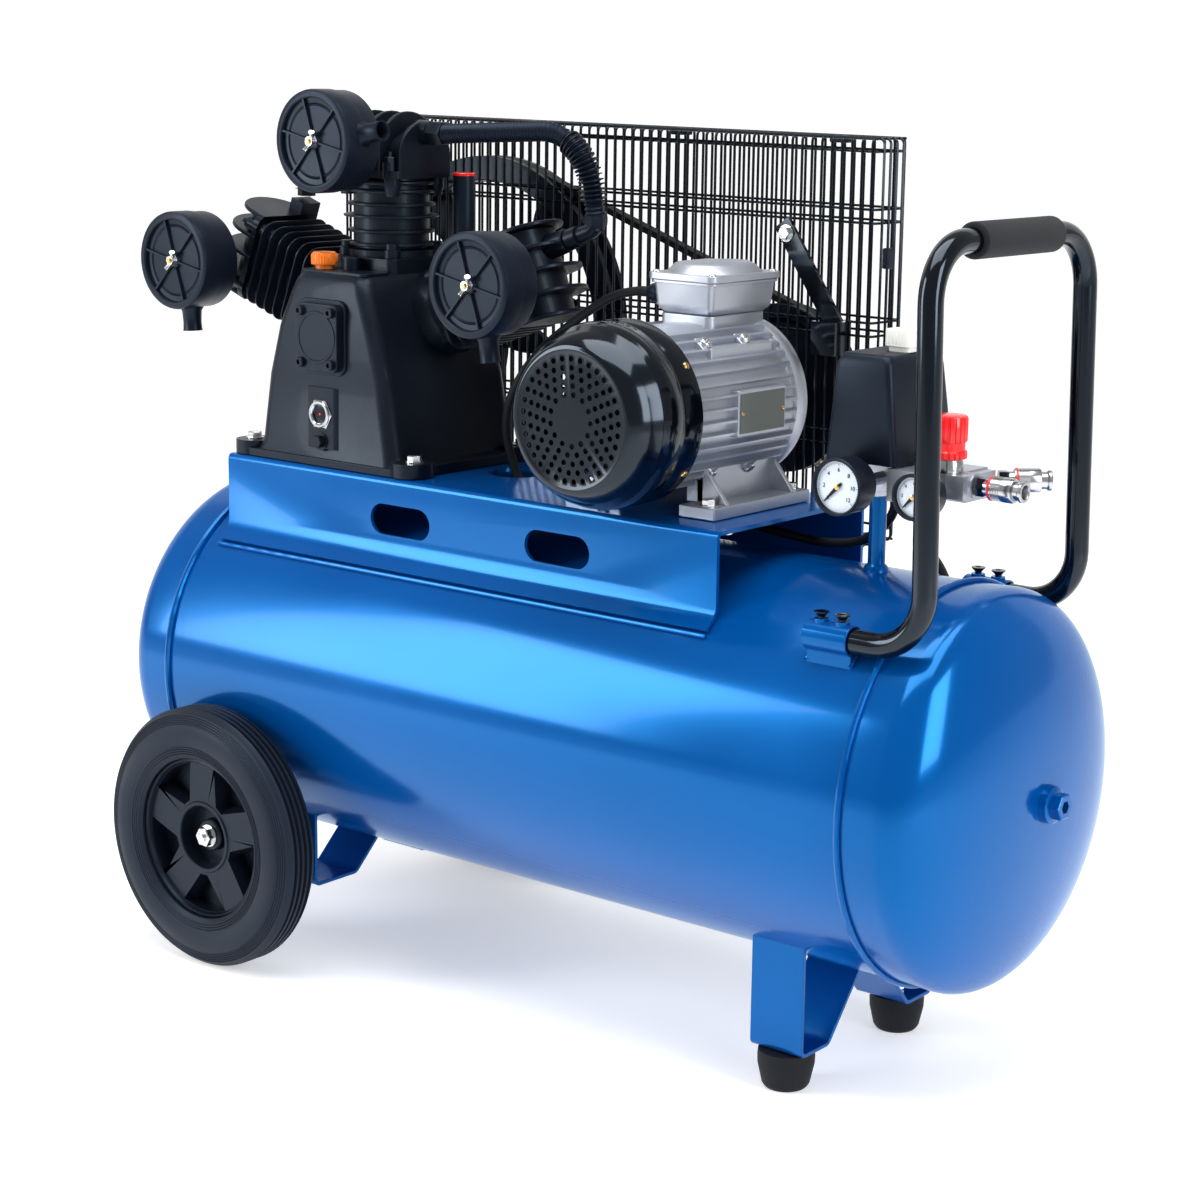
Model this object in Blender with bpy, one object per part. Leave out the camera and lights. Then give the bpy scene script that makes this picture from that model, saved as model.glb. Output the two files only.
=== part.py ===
"""Belt-driven piston air compressor on a wheeled 100 litre tank.

Frame: X runs along the tank from the wheels (-X) to the push handle (+X), -Y is the side with the
gauges and the filters, +Z is up and the floor is z = 0.  Metres throughout.
"""
import math

import bmesh
import bpy
from mathutils import Matrix, Vector

# ---------------------------------------------------------------- driving dimensions
GAP = 0.0004                 # air left between pieces that rest on each other

TANK_RADIUS = 0.185
TANK_AXIS_Z = 0.289
TANK_SIDES = 32
TANK_WALL = 0.003
TANK_SEAM_X = 0.4215         # weld between shell and dished head
TANK_SKIRT = 0.034
TANK_DOME = 0.065
DOME_POWER = 2.14            # superellipse power of the dished heads
BOSS_RADIUS = 0.017

PLATE_X = (-0.3985, 0.2385)
PLATE_HALF_WIDTH = 0.118
PLATE_TOP = 0.512
PLATE_THICK = 0.004
SLOT_LENGTH = 0.080
SLOT_HEIGHT = 0.031
SLOT_Z = 0.4708
SLOT_XS = (-0.153, 0.050)

STRIP_WIDTH = 0.058
STRIP_THICK = 0.004
LEG_Y = 0.111
FOOT_X = 0.312
FOOT_Y = 0.093
FOOT_HEIGHT = 0.036
WHEEL_X = -0.3322
WHEEL_RADIUS = 0.1343
WHEEL_OUTER_Y = 0.2327
DRAIN_X = 0.240
WHEEL_WIDTH = 0.0477
RIM_RADIUS = 0.083
AXLE_RADIUS = 0.006

HANDLE_RADIUS = 0.011
HANDLE_WALL = 0.0015
HANDLE_Y = 0.130
HANDLE_TOP_Z = 0.783
SLEEVE_Z = 0.4388
SLEEVE_X = (0.350, 0.396)
GRIP_RADIUS = 0.016
GRIP_HALF = 0.067

PUMP_X = -0.270
CRANK_Z = 0.643
CYLINDER_TILT = math.radians(70)
CYLINDER_Y = {"top": -0.008, "left": 0.000, "right": 0.004}
PIPE_BOSS = 0.075            # reach of the pipe bosses on both sides of the top head
PIPE_Z = 0.846
BANK_REACH = {-1: (0.0892, 0.185, 0.060), 0: (0.0774, 0.157, 0.066), 1: (0.0892, 0.185, 0.060)}
FILTER_RADIUS = 0.051
FILTER_Y = (-0.120, -0.074)
FILTERS = {"top": (PUMP_X, 0.837, -0.0518, (0.073, 0.002, 0.013)),       # x, z, rear of the stub, snout
           "left": (PUMP_X - 0.207, 0.706, -0.0438, (0.004, 0, -0.074)),
           "right": (PUMP_X + 0.207, 0.710, -0.0398, (0.010, 0, -0.074))}

BELT_Y = 0.150
FLYWHEEL_RADIUS = 0.175
PULLEY_RADIUS = 0.084
BELT_HALF_WIDTH = 0.0062
BELT_DEPTH = 0.0072
GROOVE_DEPTH = 0.0095

MOTOR_X = 0.118
MOTOR_Z = 0.6065
MOTOR_FRONT_Y = -0.181
MOTOR_JOINT_Y = -0.097
MOTOR_END_Y = 0.089
MOTOR_RADIUS = 0.084
COVER_RADIUS = 0.086
COVER_WALL = 0.0015
SHAFT_RADIUS = 0.012

GUARD_X = (-0.474, 0.238)
GUARD_Y = (0.1225, 0.181)
GUARD_Z = (0.4625, 0.857)
GUARD_WALL = 0.0035
GUARD_PITCH = 0.0455

RISER_X = 0.3315
MANIFOLD_Z = (0.550, 0.578)
SWITCH_Z = (0.5785, 0.675)
GAUGES = {"tank": (0.345, 0.562, 0.026, -0.090), "outlet": (0.417, 0.5605, 0.0205, -0.080)}
REGULATOR = (0.4175, -0.022)
COUPLERS = {"front": ((0.4440, -0.018, 0.5665), 0.0), "rear": ((0.4400, 0.0225, 0.5665), math.radians(40))}

MOTOR_CABLE_RADIUS = 0.0045
MAINS_CABLE_RADIUS = 0.0043
COIL_RADIUS = 0.0491         # middle of the turns, which lie two wide and two high
COIL_CENTRE = (0.080, 0.310)

# ---------------------------------------------------------------- helpers
MATERIALS = {
    "blue_paint": ((0.004, 0.060, 0.360), 0.22, 0.3),
    "black_casting": ((0.012, 0.013, 0.016), 0.45, 0.2),
    "black_gloss": ((0.006, 0.006, 0.008), 0.15, 0.2),
    "black_plastic": ((0.015, 0.016, 0.018), 0.50, 0.0),
    "black_wire": ((0.010, 0.010, 0.012), 0.35, 0.2),
    "rubber": ((0.018, 0.018, 0.020), 0.75, 0.0),
    "foam": ((0.020, 0.020, 0.022), 0.95, 0.0),
    "aluminium": ((0.520, 0.540, 0.570), 0.42, 0.9),
    "steel": ((0.420, 0.420, 0.430), 0.35, 1.0),
    "zinc": ((0.620, 0.630, 0.650), 0.25, 1.0),
    "chrome": ((0.700, 0.710, 0.730), 0.12, 1.0),
    "brass": ((0.550, 0.380, 0.140), 0.30, 1.0),
    "orange_plastic": ((0.850, 0.210, 0.010), 0.35, 0.0),
    "red_plastic": ((0.800, 0.010, 0.015), 0.30, 0.0),
    "white_plastic": ((0.750, 0.750, 0.730), 0.40, 0.0),
    "dial_white": ((0.800, 0.820, 0.840), 0.30, 0.0),
}
AXIS_TURN = {
    "X": Matrix(((0, 0, 1), (1, 0, 0), (0, 1, 0))).to_4x4(),
    "Y": Matrix(((0, 1, 0), (0, 0, 1), (1, 0, 0))).to_4x4(),
    "Z": Matrix.Identity(4),
}


def clear_scene():
    for thing in list(bpy.data.objects):
        bpy.data.objects.remove(thing, do_unlink=True)


def material(name):
    found = bpy.data.materials.get(name)
    if found:
        return found
    colour, roughness, metallic = MATERIALS[name]
    made = bpy.data.materials.new(name)
    made.use_nodes = True
    shader = made.node_tree.nodes["Principled BSDF"]
    shader.inputs["Base Color"].default_value = (*colour, 1.0)
    shader.inputs["Roughness"].default_value = roughness
    shader.inputs["Metallic"].default_value = metallic
    return made


def mesh_object(name, bm, finish, origin=(0, 0, 0)):
    """Turn a bmesh in world coordinates into a named object whose origin is at `origin`."""
    bmesh.ops.recalc_face_normals(bm, faces=bm.faces)
    bmesh.ops.translate(bm, verts=bm.verts, vec=-Vector(origin))
    mesh = bpy.data.meshes.new(name)
    bm.to_mesh(mesh)
    bm.free()
    mesh.shade_smooth()
    mesh.set_sharp_from_angle(angle=math.radians(35))
    made = bpy.data.objects.new(name, mesh)
    made.location = origin
    made.data.materials.append(material(finish))
    bpy.context.scene.collection.objects.link(made)
    return made


def loft(rings, closed=False):
    """Skin a list of equal vertex rings; the ends are capped unless the rings close on themselves."""
    bm = bmesh.new()
    rows = [[bm.verts.new(point) for point in ring] for ring in rings]
    pairs = list(zip(rows, rows[1:]))
    if closed:
        pairs.append((rows[-1], rows[0]))
    for low, high in pairs:
        for i in range(len(low)):
            j = (i + 1) % len(low)
            bm.faces.new((low[i], low[j], high[j], high[i]))
    if not closed:
        bm.faces.new(rows[0])
        bm.faces.new(rows[-1])
    return bm


def placed(point, axis, centre):
    """A point given as (first cross axis, second cross axis, along axis) put in world axes."""
    return (AXIS_TURN[axis] @ Vector(point)) + Vector(centre)


def prism(outline, axis, low, high):
    """Extrude an outline; its two coordinates are the other axes in X, Y, Z order (X, Z for axis Y)."""
    def at(a, b, c):
        return {"X": (c, a, b), "Y": (a, c, b), "Z": (a, b, c)}[axis]
    return loft([[at(a, b, low) for a, b in outline], [at(a, b, high) for a, b in outline]])


def box(low, high):
    outline = [(low[0], low[1]), (high[0], low[1]), (high[0], high[1]), (low[0], high[1])]
    return prism(outline, "Z", low[2], high[2])


def turned(profile, axis, centre, sides, ring=False):
    """Turn a profile of (radius, distance along the axis).  A ring's profile closes on itself."""
    bm = bmesh.new()
    rows = []
    for radius, along in profile:
        if radius == 0:
            rows.append([bm.verts.new(placed((0, 0, along), axis, centre))])
            continue
        row = []
        for i in range(sides):
            angle = 2 * math.pi * i / sides
            point = (radius * math.cos(angle), radius * math.sin(angle), along)
            row.append(bm.verts.new(placed(point, axis, centre)))
        rows.append(row)
    pairs = list(zip(rows, rows[1:]))
    if ring:
        pairs.append((rows[-1], rows[0]))
    for low, high in pairs:
        for i in range(sides):
            j = (i + 1) % sides
            corners = [low[i % len(low)], low[j % len(low)], high[j % len(high)], high[i % len(high)]]
            kept = [v for k, v in enumerate(corners) if v not in corners[:k]]
            if len(kept) > 2:
                bm.faces.new(kept)
    if not ring:
        for row in (rows[0], rows[-1]):
            if len(row) > 1:
                bm.faces.new(row)
    return bm


def turned_piece(name, profile, axis, centre, sides, finish, ring=False, origin=(0, 0, 0)):
    return mesh_object(name, turned(profile, axis, centre, sides, ring), finish, origin)


def rounded_route(corners, radii, steps=5):
    """Round the inner corners of a polyline with arcs of the given radii."""
    points = [Vector(corners[0])]
    for radius, before, corner, after in zip(radii, corners, corners[1:], corners[2:]):
        before, corner, after = Vector(before), Vector(corner), Vector(after)
        to_before = (before - corner).normalized()
        to_after = (after - corner).normalized()
        half = to_before.angle(to_after) / 2
        reach = radius / math.tan(half)
        centre = corner + (to_before + to_after).normalized() * (radius / math.sin(half))
        start = corner + to_before * reach - centre
        end = corner + to_after * reach - centre
        for i in range(steps + 1):
            t = i / steps
            mixed = (start * math.sin((1 - t) * start.angle(end)) + end * math.sin(t * start.angle(end)))
            points.append(centre + mixed.normalized() * radius)
    points.append(Vector(corners[-1]))
    return points


def frames_along(points):
    """A right angled pair of cross axes at each point, carried along without twist."""
    frames = []
    tangents = []
    for i in range(len(points)):
        before = points[max(i - 1, 0)]
        after = points[min(i + 1, len(points) - 1)]
        tangents.append((Vector(after) - Vector(before)).normalized())
    side = tangents[0].orthogonal().normalized()
    for tangent in tangents:
        side = (side - tangent * side.dot(tangent)).normalized()
        frames.append((side.copy(), tangent.cross(side)))
    return frames


def tube(points, radius, sides, inner=0.0, radii=None):
    """A round bar along a route, or a pipe when `inner` is its bore radius."""
    frames = frames_along(points)

    def rings(scale):
        made = []
        for k, (point, (u, v)) in enumerate(zip(points, frames)):
            r = scale * (radii[k] if radii else 1.0)
            angles = [2 * math.pi * i / sides for i in range(sides)]
            made.append([Vector(point) + u * (r * math.cos(a)) + v * (r * math.sin(a)) for a in angles])
        return made

    outer = rings(1.0 if radii else radius)
    if not inner:
        return loft(outer)
    return loft(outer + rings(inner)[::-1], closed=True)


def evaluated(thing):
    graph = bpy.context.evaluated_depsgraph_get()
    return bpy.data.meshes.new_from_object(thing.evaluated_get(graph))


def combine(target, tools, operation):
    """Join to, or cut from, `target` each bmesh of `tools`."""
    for bm in tools:
        tool = mesh_object("tool", bm, "steel")
        step = target.modifiers.new("combine", "BOOLEAN")
        step.operation = operation
        step.solver = "EXACT"
        step.object = tool
        bpy.context.view_layer.update()
        result = evaluated(target)
        target.modifiers.clear()
        target.data = result
        bpy.data.objects.remove(tool, do_unlink=True)
    tidy = bmesh.new()
    tidy.from_mesh(target.data)
    bmesh.ops.dissolve_limit(tidy, angle_limit=math.radians(0.2), verts=tidy.verts, edges=tidy.edges)
    bmesh.ops.remove_doubles(tidy, verts=tidy.verts, dist=1e-6)
    tidy.to_mesh(target.data)
    tidy.free()
    slot = target.data.materials[0]
    target.data.materials.clear()
    target.data.materials.append(slot)
    target.data.polygons.foreach_set("material_index", [0] * len(target.data.polygons))
    target.data.set_sharp_from_angle(angle=math.radians(35))
    return target


def join(target, *tools):
    return combine(target, tools, "UNION")


def cut(target, *tools):
    return combine(target, tools, "DIFFERENCE")


def obround(length, height, centre, steps=5):
    """Outline of a slot with round ends."""
    radius = height / 2
    reach = length / 2 - radius
    outline = []
    for side in (1, -1):
        for i in range(steps + 1):
            angle = -math.pi / 2 + math.pi * i / steps
            a = side * (reach + radius * math.cos(angle))
            b = side * radius * math.sin(angle)
            outline.append((centre[0] + a, centre[1] + b))
    return outline


def rounded_rectangle(low, high, radius, steps=3):
    outline = []
    corners = ((high[0], high[1], 0), (low[0], high[1], 1), (low[0], low[1], 2), (high[0], low[1], 3))
    for x, y, quarter in corners:
        cx = x - math.copysign(radius, x - (low[0] + high[0]) / 2)
        cy = y - math.copysign(radius, y - (low[1] + high[1]) / 2)
        for i in range(steps + 1):
            angle = math.pi / 2 * (quarter + i / steps)
            outline.append((cx + radius * math.cos(angle), cy + radius * math.sin(angle)))
    return outline


def on_tank(y, radius=TANK_RADIUS):
    """Height above the tank axis of a circle about it at a given y."""
    return math.sqrt(radius * radius - y * y)


def thick_strip(line, thick):
    """Outline of a sheet of one thickness that follows an open line, on the left of it."""
    offset = []
    for i, point in enumerate(line):
        here = Vector(point)
        normals = []
        for a, b in ((i - 1, i), (i, i + 1)):
            if a >= 0 and b < len(line):
                step = (Vector(line[b]) - Vector(line[a])).normalized()
                normals.append(Vector((-step.y, step.x)))
        mean = sum(normals, Vector((0, 0))).normalized()
        offset.append(tuple(here + mean * (thick / mean.dot(normals[0]))))
    return list(line) + offset[::-1]


# ---------------------------------------------------------------- tank and frame
def dome_profile(radius, depth, steps):
    """Radius and depth of a dished head from its rim to its pole."""
    points = []
    for i in range(1, steps):
        angle = math.pi / 2 * i / steps
        r = radius * math.cos(angle) ** (2 / DOME_POWER)
        points.append((r, depth * math.sin(angle) ** (2 / DOME_POWER)))
    points.append((0, depth))
    return points


def tank_body(radius, shrink, sides):
    straight = TANK_SEAM_X + TANK_SKIRT
    dome = dome_profile(radius, TANK_DOME - shrink, 4)
    right = [(r, straight + d) for r, d in dome]
    left = [(r, -straight - d) for r, d in reversed(dome)]
    profile = left + [(radius, -straight), (radius, straight)] + right
    return turned(profile, "X", (0, 0, TANK_AXIS_Z), sides)


def air_tank():
    """Welded vessel: shell, dished heads, end bosses, handle sleeves, riser pipe and drain boss."""
    tank = mesh_object("air_tank", tank_body(TANK_RADIUS, 0, TANK_SIDES), "blue_paint")
    end = TANK_SEAM_X + TANK_SKIRT + TANK_DOME
    sleeves = []
    for side in (-1, 1):
        centre = (0, side * HANDLE_Y, SLEEVE_Z)
        sleeves.append(turned([(0.0138, SLEEVE_X[0]), (0.0138, SLEEVE_X[1])], "X", centre, 16))
        low, high = sorted((side * (HANDLE_Y - 0.007), side * (HANDLE_Y + 0.004)))
        sleeves.append(box((SLEEVE_X[0], low, 0.410), (SLEEVE_X[1], high, 0.432)))
    bosses = []
    for side in (-1, 1):
        depth = [(BOSS_RADIUS, side * (end - 0.02)), (BOSS_RADIUS, side * (end + 0.008))]
        bosses.append(turned(depth, "X", (0, 0, TANK_AXIS_Z), 16))
        hexagon = [(0.0125, side * (end - 0.01)), (0.0125, side * (end + 0.018))]
        bosses.append(turned(hexagon, "X", (0, 0, TANK_AXIS_Z), 6))
    low, crown = TANK_AXIS_Z - TANK_RADIUS, TANK_AXIS_Z + TANK_RADIUS
    bosses.append(turned([(0.016, low - 0.005), (0.016, low + 0.010)], "Z", (DRAIN_X, 0, 0), 16))
    riser_top = MANIFOLD_Z[0] - GAP
    bosses.append(turned([(0.008, crown - 0.002), (0.008, riser_top)], "Z", (RISER_X, 0, 0), 12))
    join(tank, *sleeves, *bosses)
    bores = []
    for side in (-1, 1):
        centre = (0, side * HANDLE_Y, SLEEVE_Z)
        reach = [(HANDLE_RADIUS + 0.0007, SLEEVE_X[0] - 0.01), (HANDLE_RADIUS + 0.0007, SLEEVE_X[1] + 0.01)]
        bores.append(turned(reach, "X", centre, 16))
    hollow = tank_body(TANK_RADIUS - TANK_WALL, TANK_WALL, TANK_SIDES)
    drain = turned([(0.0085, low - 0.02), (0.0085, low + 0.03)], "Z", (DRAIN_X, 0, 0), 12)
    riser_bore = turned([(0.0055, crown - 0.02), (0.0055, riser_top + 0.01)], "Z", (RISER_X, 0, 0), 12)
    return cut(tank, *bores, hollow, drain, riser_bore)


def drain_knob():
    """Screw of the drain valve, in the boss under the tank."""
    low = TANK_AXIS_Z - TANK_RADIUS
    profile = [(0, low + 0.012), (0.0078, low + 0.012), (0.0078, low - 0.0055), (0.013, low - 0.0055),
               (0.013, low - 0.0120), (0.006, low - 0.0120), (0.006, low - 0.0155), (0, low - 0.0155)]
    return turned_piece("drain_valve_screw", profile, "Z", (DRAIN_X, 0, 0), 12, "brass",
                        origin=(DRAIN_X, 0, low - 0.0087))


def saddle_plate():
    """Bent sheet that carries pump and motor; its lips follow the tank."""
    outer = TANK_RADIUS + GAP + PLATE_THICK
    half = PLATE_HALF_WIDTH
    lip = []
    for y in (-half - 0.014, -half - 0.007, -half):
        lip.append((y, TANK_AXIS_Z + on_tank(y, outer)))
    bend = 0.005
    top = [(-half, PLATE_TOP - bend), (-half + bend * 0.29, PLATE_TOP - bend * 0.29), (-half + bend, PLATE_TOP)]
    line = lip + top
    line += [(-y, z) for y, z in reversed(line)]
    outline = thick_strip(line[::-1], PLATE_THICK)
    plate = mesh_object("saddle_plate", prism(outline, "X", *PLATE_X), "blue_paint")
    slots = []
    for x in SLOT_XS:
        slots.append(prism(obround(SLOT_LENGTH, SLOT_HEIGHT, (x, SLOT_Z)), "Y", -half - 0.01, half + 0.01))
    hole = turned([(0.030, PLATE_TOP - 0.02), (0.030, PLATE_TOP + 0.02)], "Z", (-0.102, 0.0, 0), 20)
    return clear_of_tank(cut(plate, *slots, hole))


def strip_bracket(name, x, leg_y, flat_y, floor_z):
    """W-shaped strip: outer legs, two flats and inner legs that meet under the tank."""
    middle_z = TANK_AXIS_Z - TANK_RADIUS - STRIP_THICK - 0.001
    line = [(-leg_y, TANK_AXIS_Z - on_tank(leg_y) + 0.010), (-leg_y, floor_z), (-flat_y, floor_z),
            (-0.014, middle_z)]
    line += [(-y, z) for y, z in reversed(line)]
    outline = thick_strip(line, STRIP_THICK)
    low, high = x - STRIP_WIDTH / 2, x + STRIP_WIDTH / 2
    return mesh_object(name, prism(outline, "X", low, high), "blue_paint")


def clear_of_tank(thing):
    around = [(TANK_RADIUS + GAP, -TANK_SEAM_X), (TANK_RADIUS + GAP, TANK_SEAM_X)]
    return cut(thing, turned(around, "X", (0, 0, TANK_AXIS_Z), TANK_SIDES))


def foot_bracket():
    bracket = strip_bracket("foot_bracket", FOOT_X, LEG_Y, 0.066, FOOT_HEIGHT + GAP)
    studs = []
    for side in (-1, 1):
        studs.append(turned([(0.0045, FOOT_HEIGHT - 0.016), (0.0045, FOOT_HEIGHT + 0.012)], "Z",
                            (FOOT_X, side * FOOT_Y, 0), 10))
    return clear_of_tank(join(bracket, *studs))


def wheel_bracket():
    """Bracket with the two axle bolts, which are clamped to its outer legs."""
    bracket = strip_bracket("wheel_bracket", -FOOT_X, LEG_Y, 0.050, 0.0635)
    bolts = []
    head_y = WHEEL_OUTER_Y - 0.0201
    for side in (-1, 1):
        centre = (WHEEL_X, 0, WHEEL_RADIUS)
        shank = [(AXLE_RADIUS, side * 0.108), (AXLE_RADIUS, side * head_y)]
        bolts.append(turned(shank, "Y", centre, 16))
        head = [(0.0105, side * (head_y - 0.0002)), (0.0105, side * (head_y + 0.008))]
        bolts.append(turned(head, "Y", centre, 6))
        collar = [(0.0095, side * 0.108), (0.0095, side * 0.1790)]
        bolts.append(turned(collar, "Y", centre, 16))
    return clear_of_tank(join(bracket, *bolts))


def rubber_foot(name, side):
    """Tapered buffer with a blind hole for the bracket's stud."""
    hole, depth = 0.0055, 0.018
    profile = [(0, 0), (0.020, 0), (0.0225, 0.004), (0.0265, 0.022), (0.0265, FOOT_HEIGHT), (hole, FOOT_HEIGHT),
               (hole, FOOT_HEIGHT - depth), (0, FOOT_HEIGHT - depth)]
    return turned_piece(name, profile, "Z", (FOOT_X, side * FOOT_Y, 0), 20, "rubber")


def tyre(name, side):
    outer = WHEEL_OUTER_Y
    inner = WHEEL_OUTER_Y - WHEEL_WIDTH
    sides = 28
    bead = (RIM_RADIUS + GAP) / math.cos(math.pi / sides)
    profile = [(bead, outer - 0.005), (0.100, outer), (0.122, outer - 0.002), (0.131, outer - 0.009),
               (WHEEL_RADIUS, outer - 0.018), (WHEEL_RADIUS, inner + 0.018), (0.131, inner + 0.009),
               (0.122, inner + 0.002), (0.100, inner), (bead, inner + 0.005)]
    return turned_piece(name, [(r, side * y) for r, y in profile], "Y", (WHEEL_X, 0, WHEEL_RADIUS), sides,
                        "rubber", ring=True)


def wheel_hub(name, side):
    """Five wide spokes with pockets between them, closed at the back, round a cupped nave."""
    outer = WHEEL_OUTER_Y - 0.0075
    inner = WHEEL_OUTER_Y - WHEEL_WIDTH + 0.0075
    web = (WHEEL_OUTER_Y - 0.013, WHEEL_OUTER_Y - 0.034)
    cup, boss, lip = WHEEL_OUTER_Y - 0.029, WHEEL_OUTER_Y - 0.021, WHEEL_OUTER_Y - 0.0115
    bore = AXLE_RADIUS + 0.0006
    centre = (WHEEL_X, 0, WHEEL_RADIUS)
    profile = [(bore, boss), (0.0165, boss), (0.017, cup), (0.0315, cup), (0.0325, lip), (0.0365, lip),
               (0.0375, web[0]), (0.0785, web[0]), (0.0795, outer), (RIM_RADIUS, outer), (RIM_RADIUS, inner),
               (0.074, inner), (0.072, web[1]), (0.024, web[1]), (0.022, inner - 0.0055), (bore, inner - 0.0055)]
    hub = turned_piece(name, [(r, side * y) for r, y in profile], "Y", centre, 25, "black_plastic",
                       ring=True, origin=(WHEEL_X, side * (WHEEL_OUTER_Y - WHEEL_WIDTH / 2), WHEEL_RADIUS))
    pockets = []
    for k in range(5):
        middle = math.radians(54 + 72 * k)
        outline = []
        for radius, spread in ((0.041, 5), (0.0775, 21)):
            turns = (-spread, 0, spread) if radius > 0.05 else (spread, -spread)
            for turn in turns:
                angle = middle + math.radians(turn)
                outline.append((WHEEL_X + radius * math.cos(angle), WHEEL_RADIUS + radius * math.sin(angle)))
        low, high = sorted((side * (web[0] + 0.01), side * (web[1] + 0.003)))
        pockets.append(prism(outline, "Y", low, high))
    location = hub.location.copy()
    hub.data.transform(Matrix.Translation(location))
    hub.location = (0, 0, 0)
    cut(hub, *pockets)
    hub.data.transform(Matrix.Translation(-location))
    hub.location = location
    return hub


def leg_x(z):
    """The handle leans slightly towards the wheels as it rises."""
    return 0.4639 - 0.020 * (z - 0.6)


def push_handle():
    corners = []
    for side in (-1, 1):
        half = [(SLEEVE_X[0] + 0.001, side * HANDLE_Y, SLEEVE_Z), (leg_x(SLEEVE_Z), side * HANDLE_Y, SLEEVE_Z),
                (leg_x(HANDLE_TOP_Z), side * HANDLE_Y, HANDLE_TOP_Z)]
        corners += half if side < 0 else half[::-1]
    route = rounded_route(corners, [0.050] * 4, 3)
    pipe = tube(route, HANDLE_RADIUS, 10, HANDLE_RADIUS - HANDLE_WALL)
    return mesh_object("push_handle", pipe, "black_gloss")


def handle_grip():
    bore = HANDLE_RADIUS + 0.0003
    profile = [(bore, -GRIP_HALF), (GRIP_RADIUS - 0.003, -GRIP_HALF), (GRIP_RADIUS, -GRIP_HALF + 0.003),
               (GRIP_RADIUS, GRIP_HALF - 0.003), (GRIP_RADIUS - 0.003, GRIP_HALF), (bore, GRIP_HALF)]
    centre = (leg_x(HANDLE_TOP_Z), 0, HANDLE_TOP_Z)
    return turned_piece("handle_grip", profile, "Y", centre, 14, "foam", ring=True)


# ---------------------------------------------------------------- pump
def crankcase():
    """Hollow tapered casting with a foot flange, three cylinder pads and a top deck."""
    stations = ((0.5262, 0.096, -0.106, 0.078), (0.600, 0.084, -0.106, 0.076), (0.690, 0.054, -0.103, 0.066),
                (0.7065, 0.044, -0.094, 0.056))
    rings = []
    for z, half, front, back in stations:
        outline = rounded_rectangle((PUMP_X - half, front), (PUMP_X + half, back), 0.014, 2)
        rings.append([(x, y, z) for x, y in outline])
    case = mesh_object("crankcase", loft(rings), "black_casting")
    base = PLATE_TOP + GAP
    flange = rounded_rectangle((PUMP_X - 0.131, -0.116), (PUMP_X + 0.131, 0.088), 0.018, 3)
    deck = rounded_rectangle((PUMP_X - 0.045, CYLINDER_Y["top"] - 0.045),
                             (PUMP_X + 0.045, CYLINDER_Y["top"] + 0.045), 0.008, 2)
    pads = [prism(flange, "Z", base, 0.5272), prism(deck, "Z", 0.690, 0.7200)]
    for side in (-1, 1):
        pad = turned([(0.043, 0.045), (0.043, 0.0888)], "Z", (0, 0, 0), 20)
        bmesh.ops.transform(pad, matrix=bank_matrix(side), verts=pad.verts)
        pads.append(pad)
    join(case, *pads)
    cavity = [box((PUMP_X - 0.062, -0.092, 0.522), (PUMP_X + 0.062, 0.062, 0.670)),
              turned([(0.0305, 0.66), (0.0305, 0.73)], "Z", (PUMP_X, CYLINDER_Y["top"], 0), 16),
              turned([(0.0145, -0.12), (0.0145, 0.10)], "Y", (PUMP_X, 0, CRANK_Z), 16)]
    for side in (-1, 1):
        bore = turned([(0.0305, 0.040), (0.0305, 0.095)], "Z", (0, 0, 0), 16)
        bmesh.ops.transform(bore, matrix=bank_matrix(side), verts=bore.verts)
        cavity.append(bore)
    return cut(case, *cavity)


def bank_matrix(side):
    """From an upright cylinder at the origin to the left (-1), top (0) or right (+1) bank."""
    y = CYLINDER_Y[{-1: "left", 0: "top", 1: "right"}[side]]
    return Matrix.Translation((PUMP_X, y, CRANK_Z)) @ Matrix.Rotation(side * CYLINDER_TILT, 4, "Y")


def cylinder(name, side, start, end):
    """Finned barrel between its pad and its head; distances run from the crank axis."""
    bore = 0.0305
    profile = [(bore, start), (0.043, start), (0.043, start + 0.008)]
    count = round((end - start - 0.020) / 0.026)
    pitch = (end - start - 0.012) / count
    for k in range(count):
        at = start + 0.008 + pitch * k
        profile += [(0.036, at + 0.003), (0.036, at + pitch - 0.003), (0.0485, at + pitch - 0.002)]
        profile += [(0.0485, at + pitch)]
    profile = profile[:-2] + [(0.046, end - 0.004), (0.046, end), (bore, end)]
    bm = turned(profile, "Z", (0, 0, 0), 14, ring=True)
    bmesh.ops.transform(bm, matrix=bank_matrix(side), verts=bm.verts)
    return mesh_object(name, bm, "black_casting")


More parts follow.
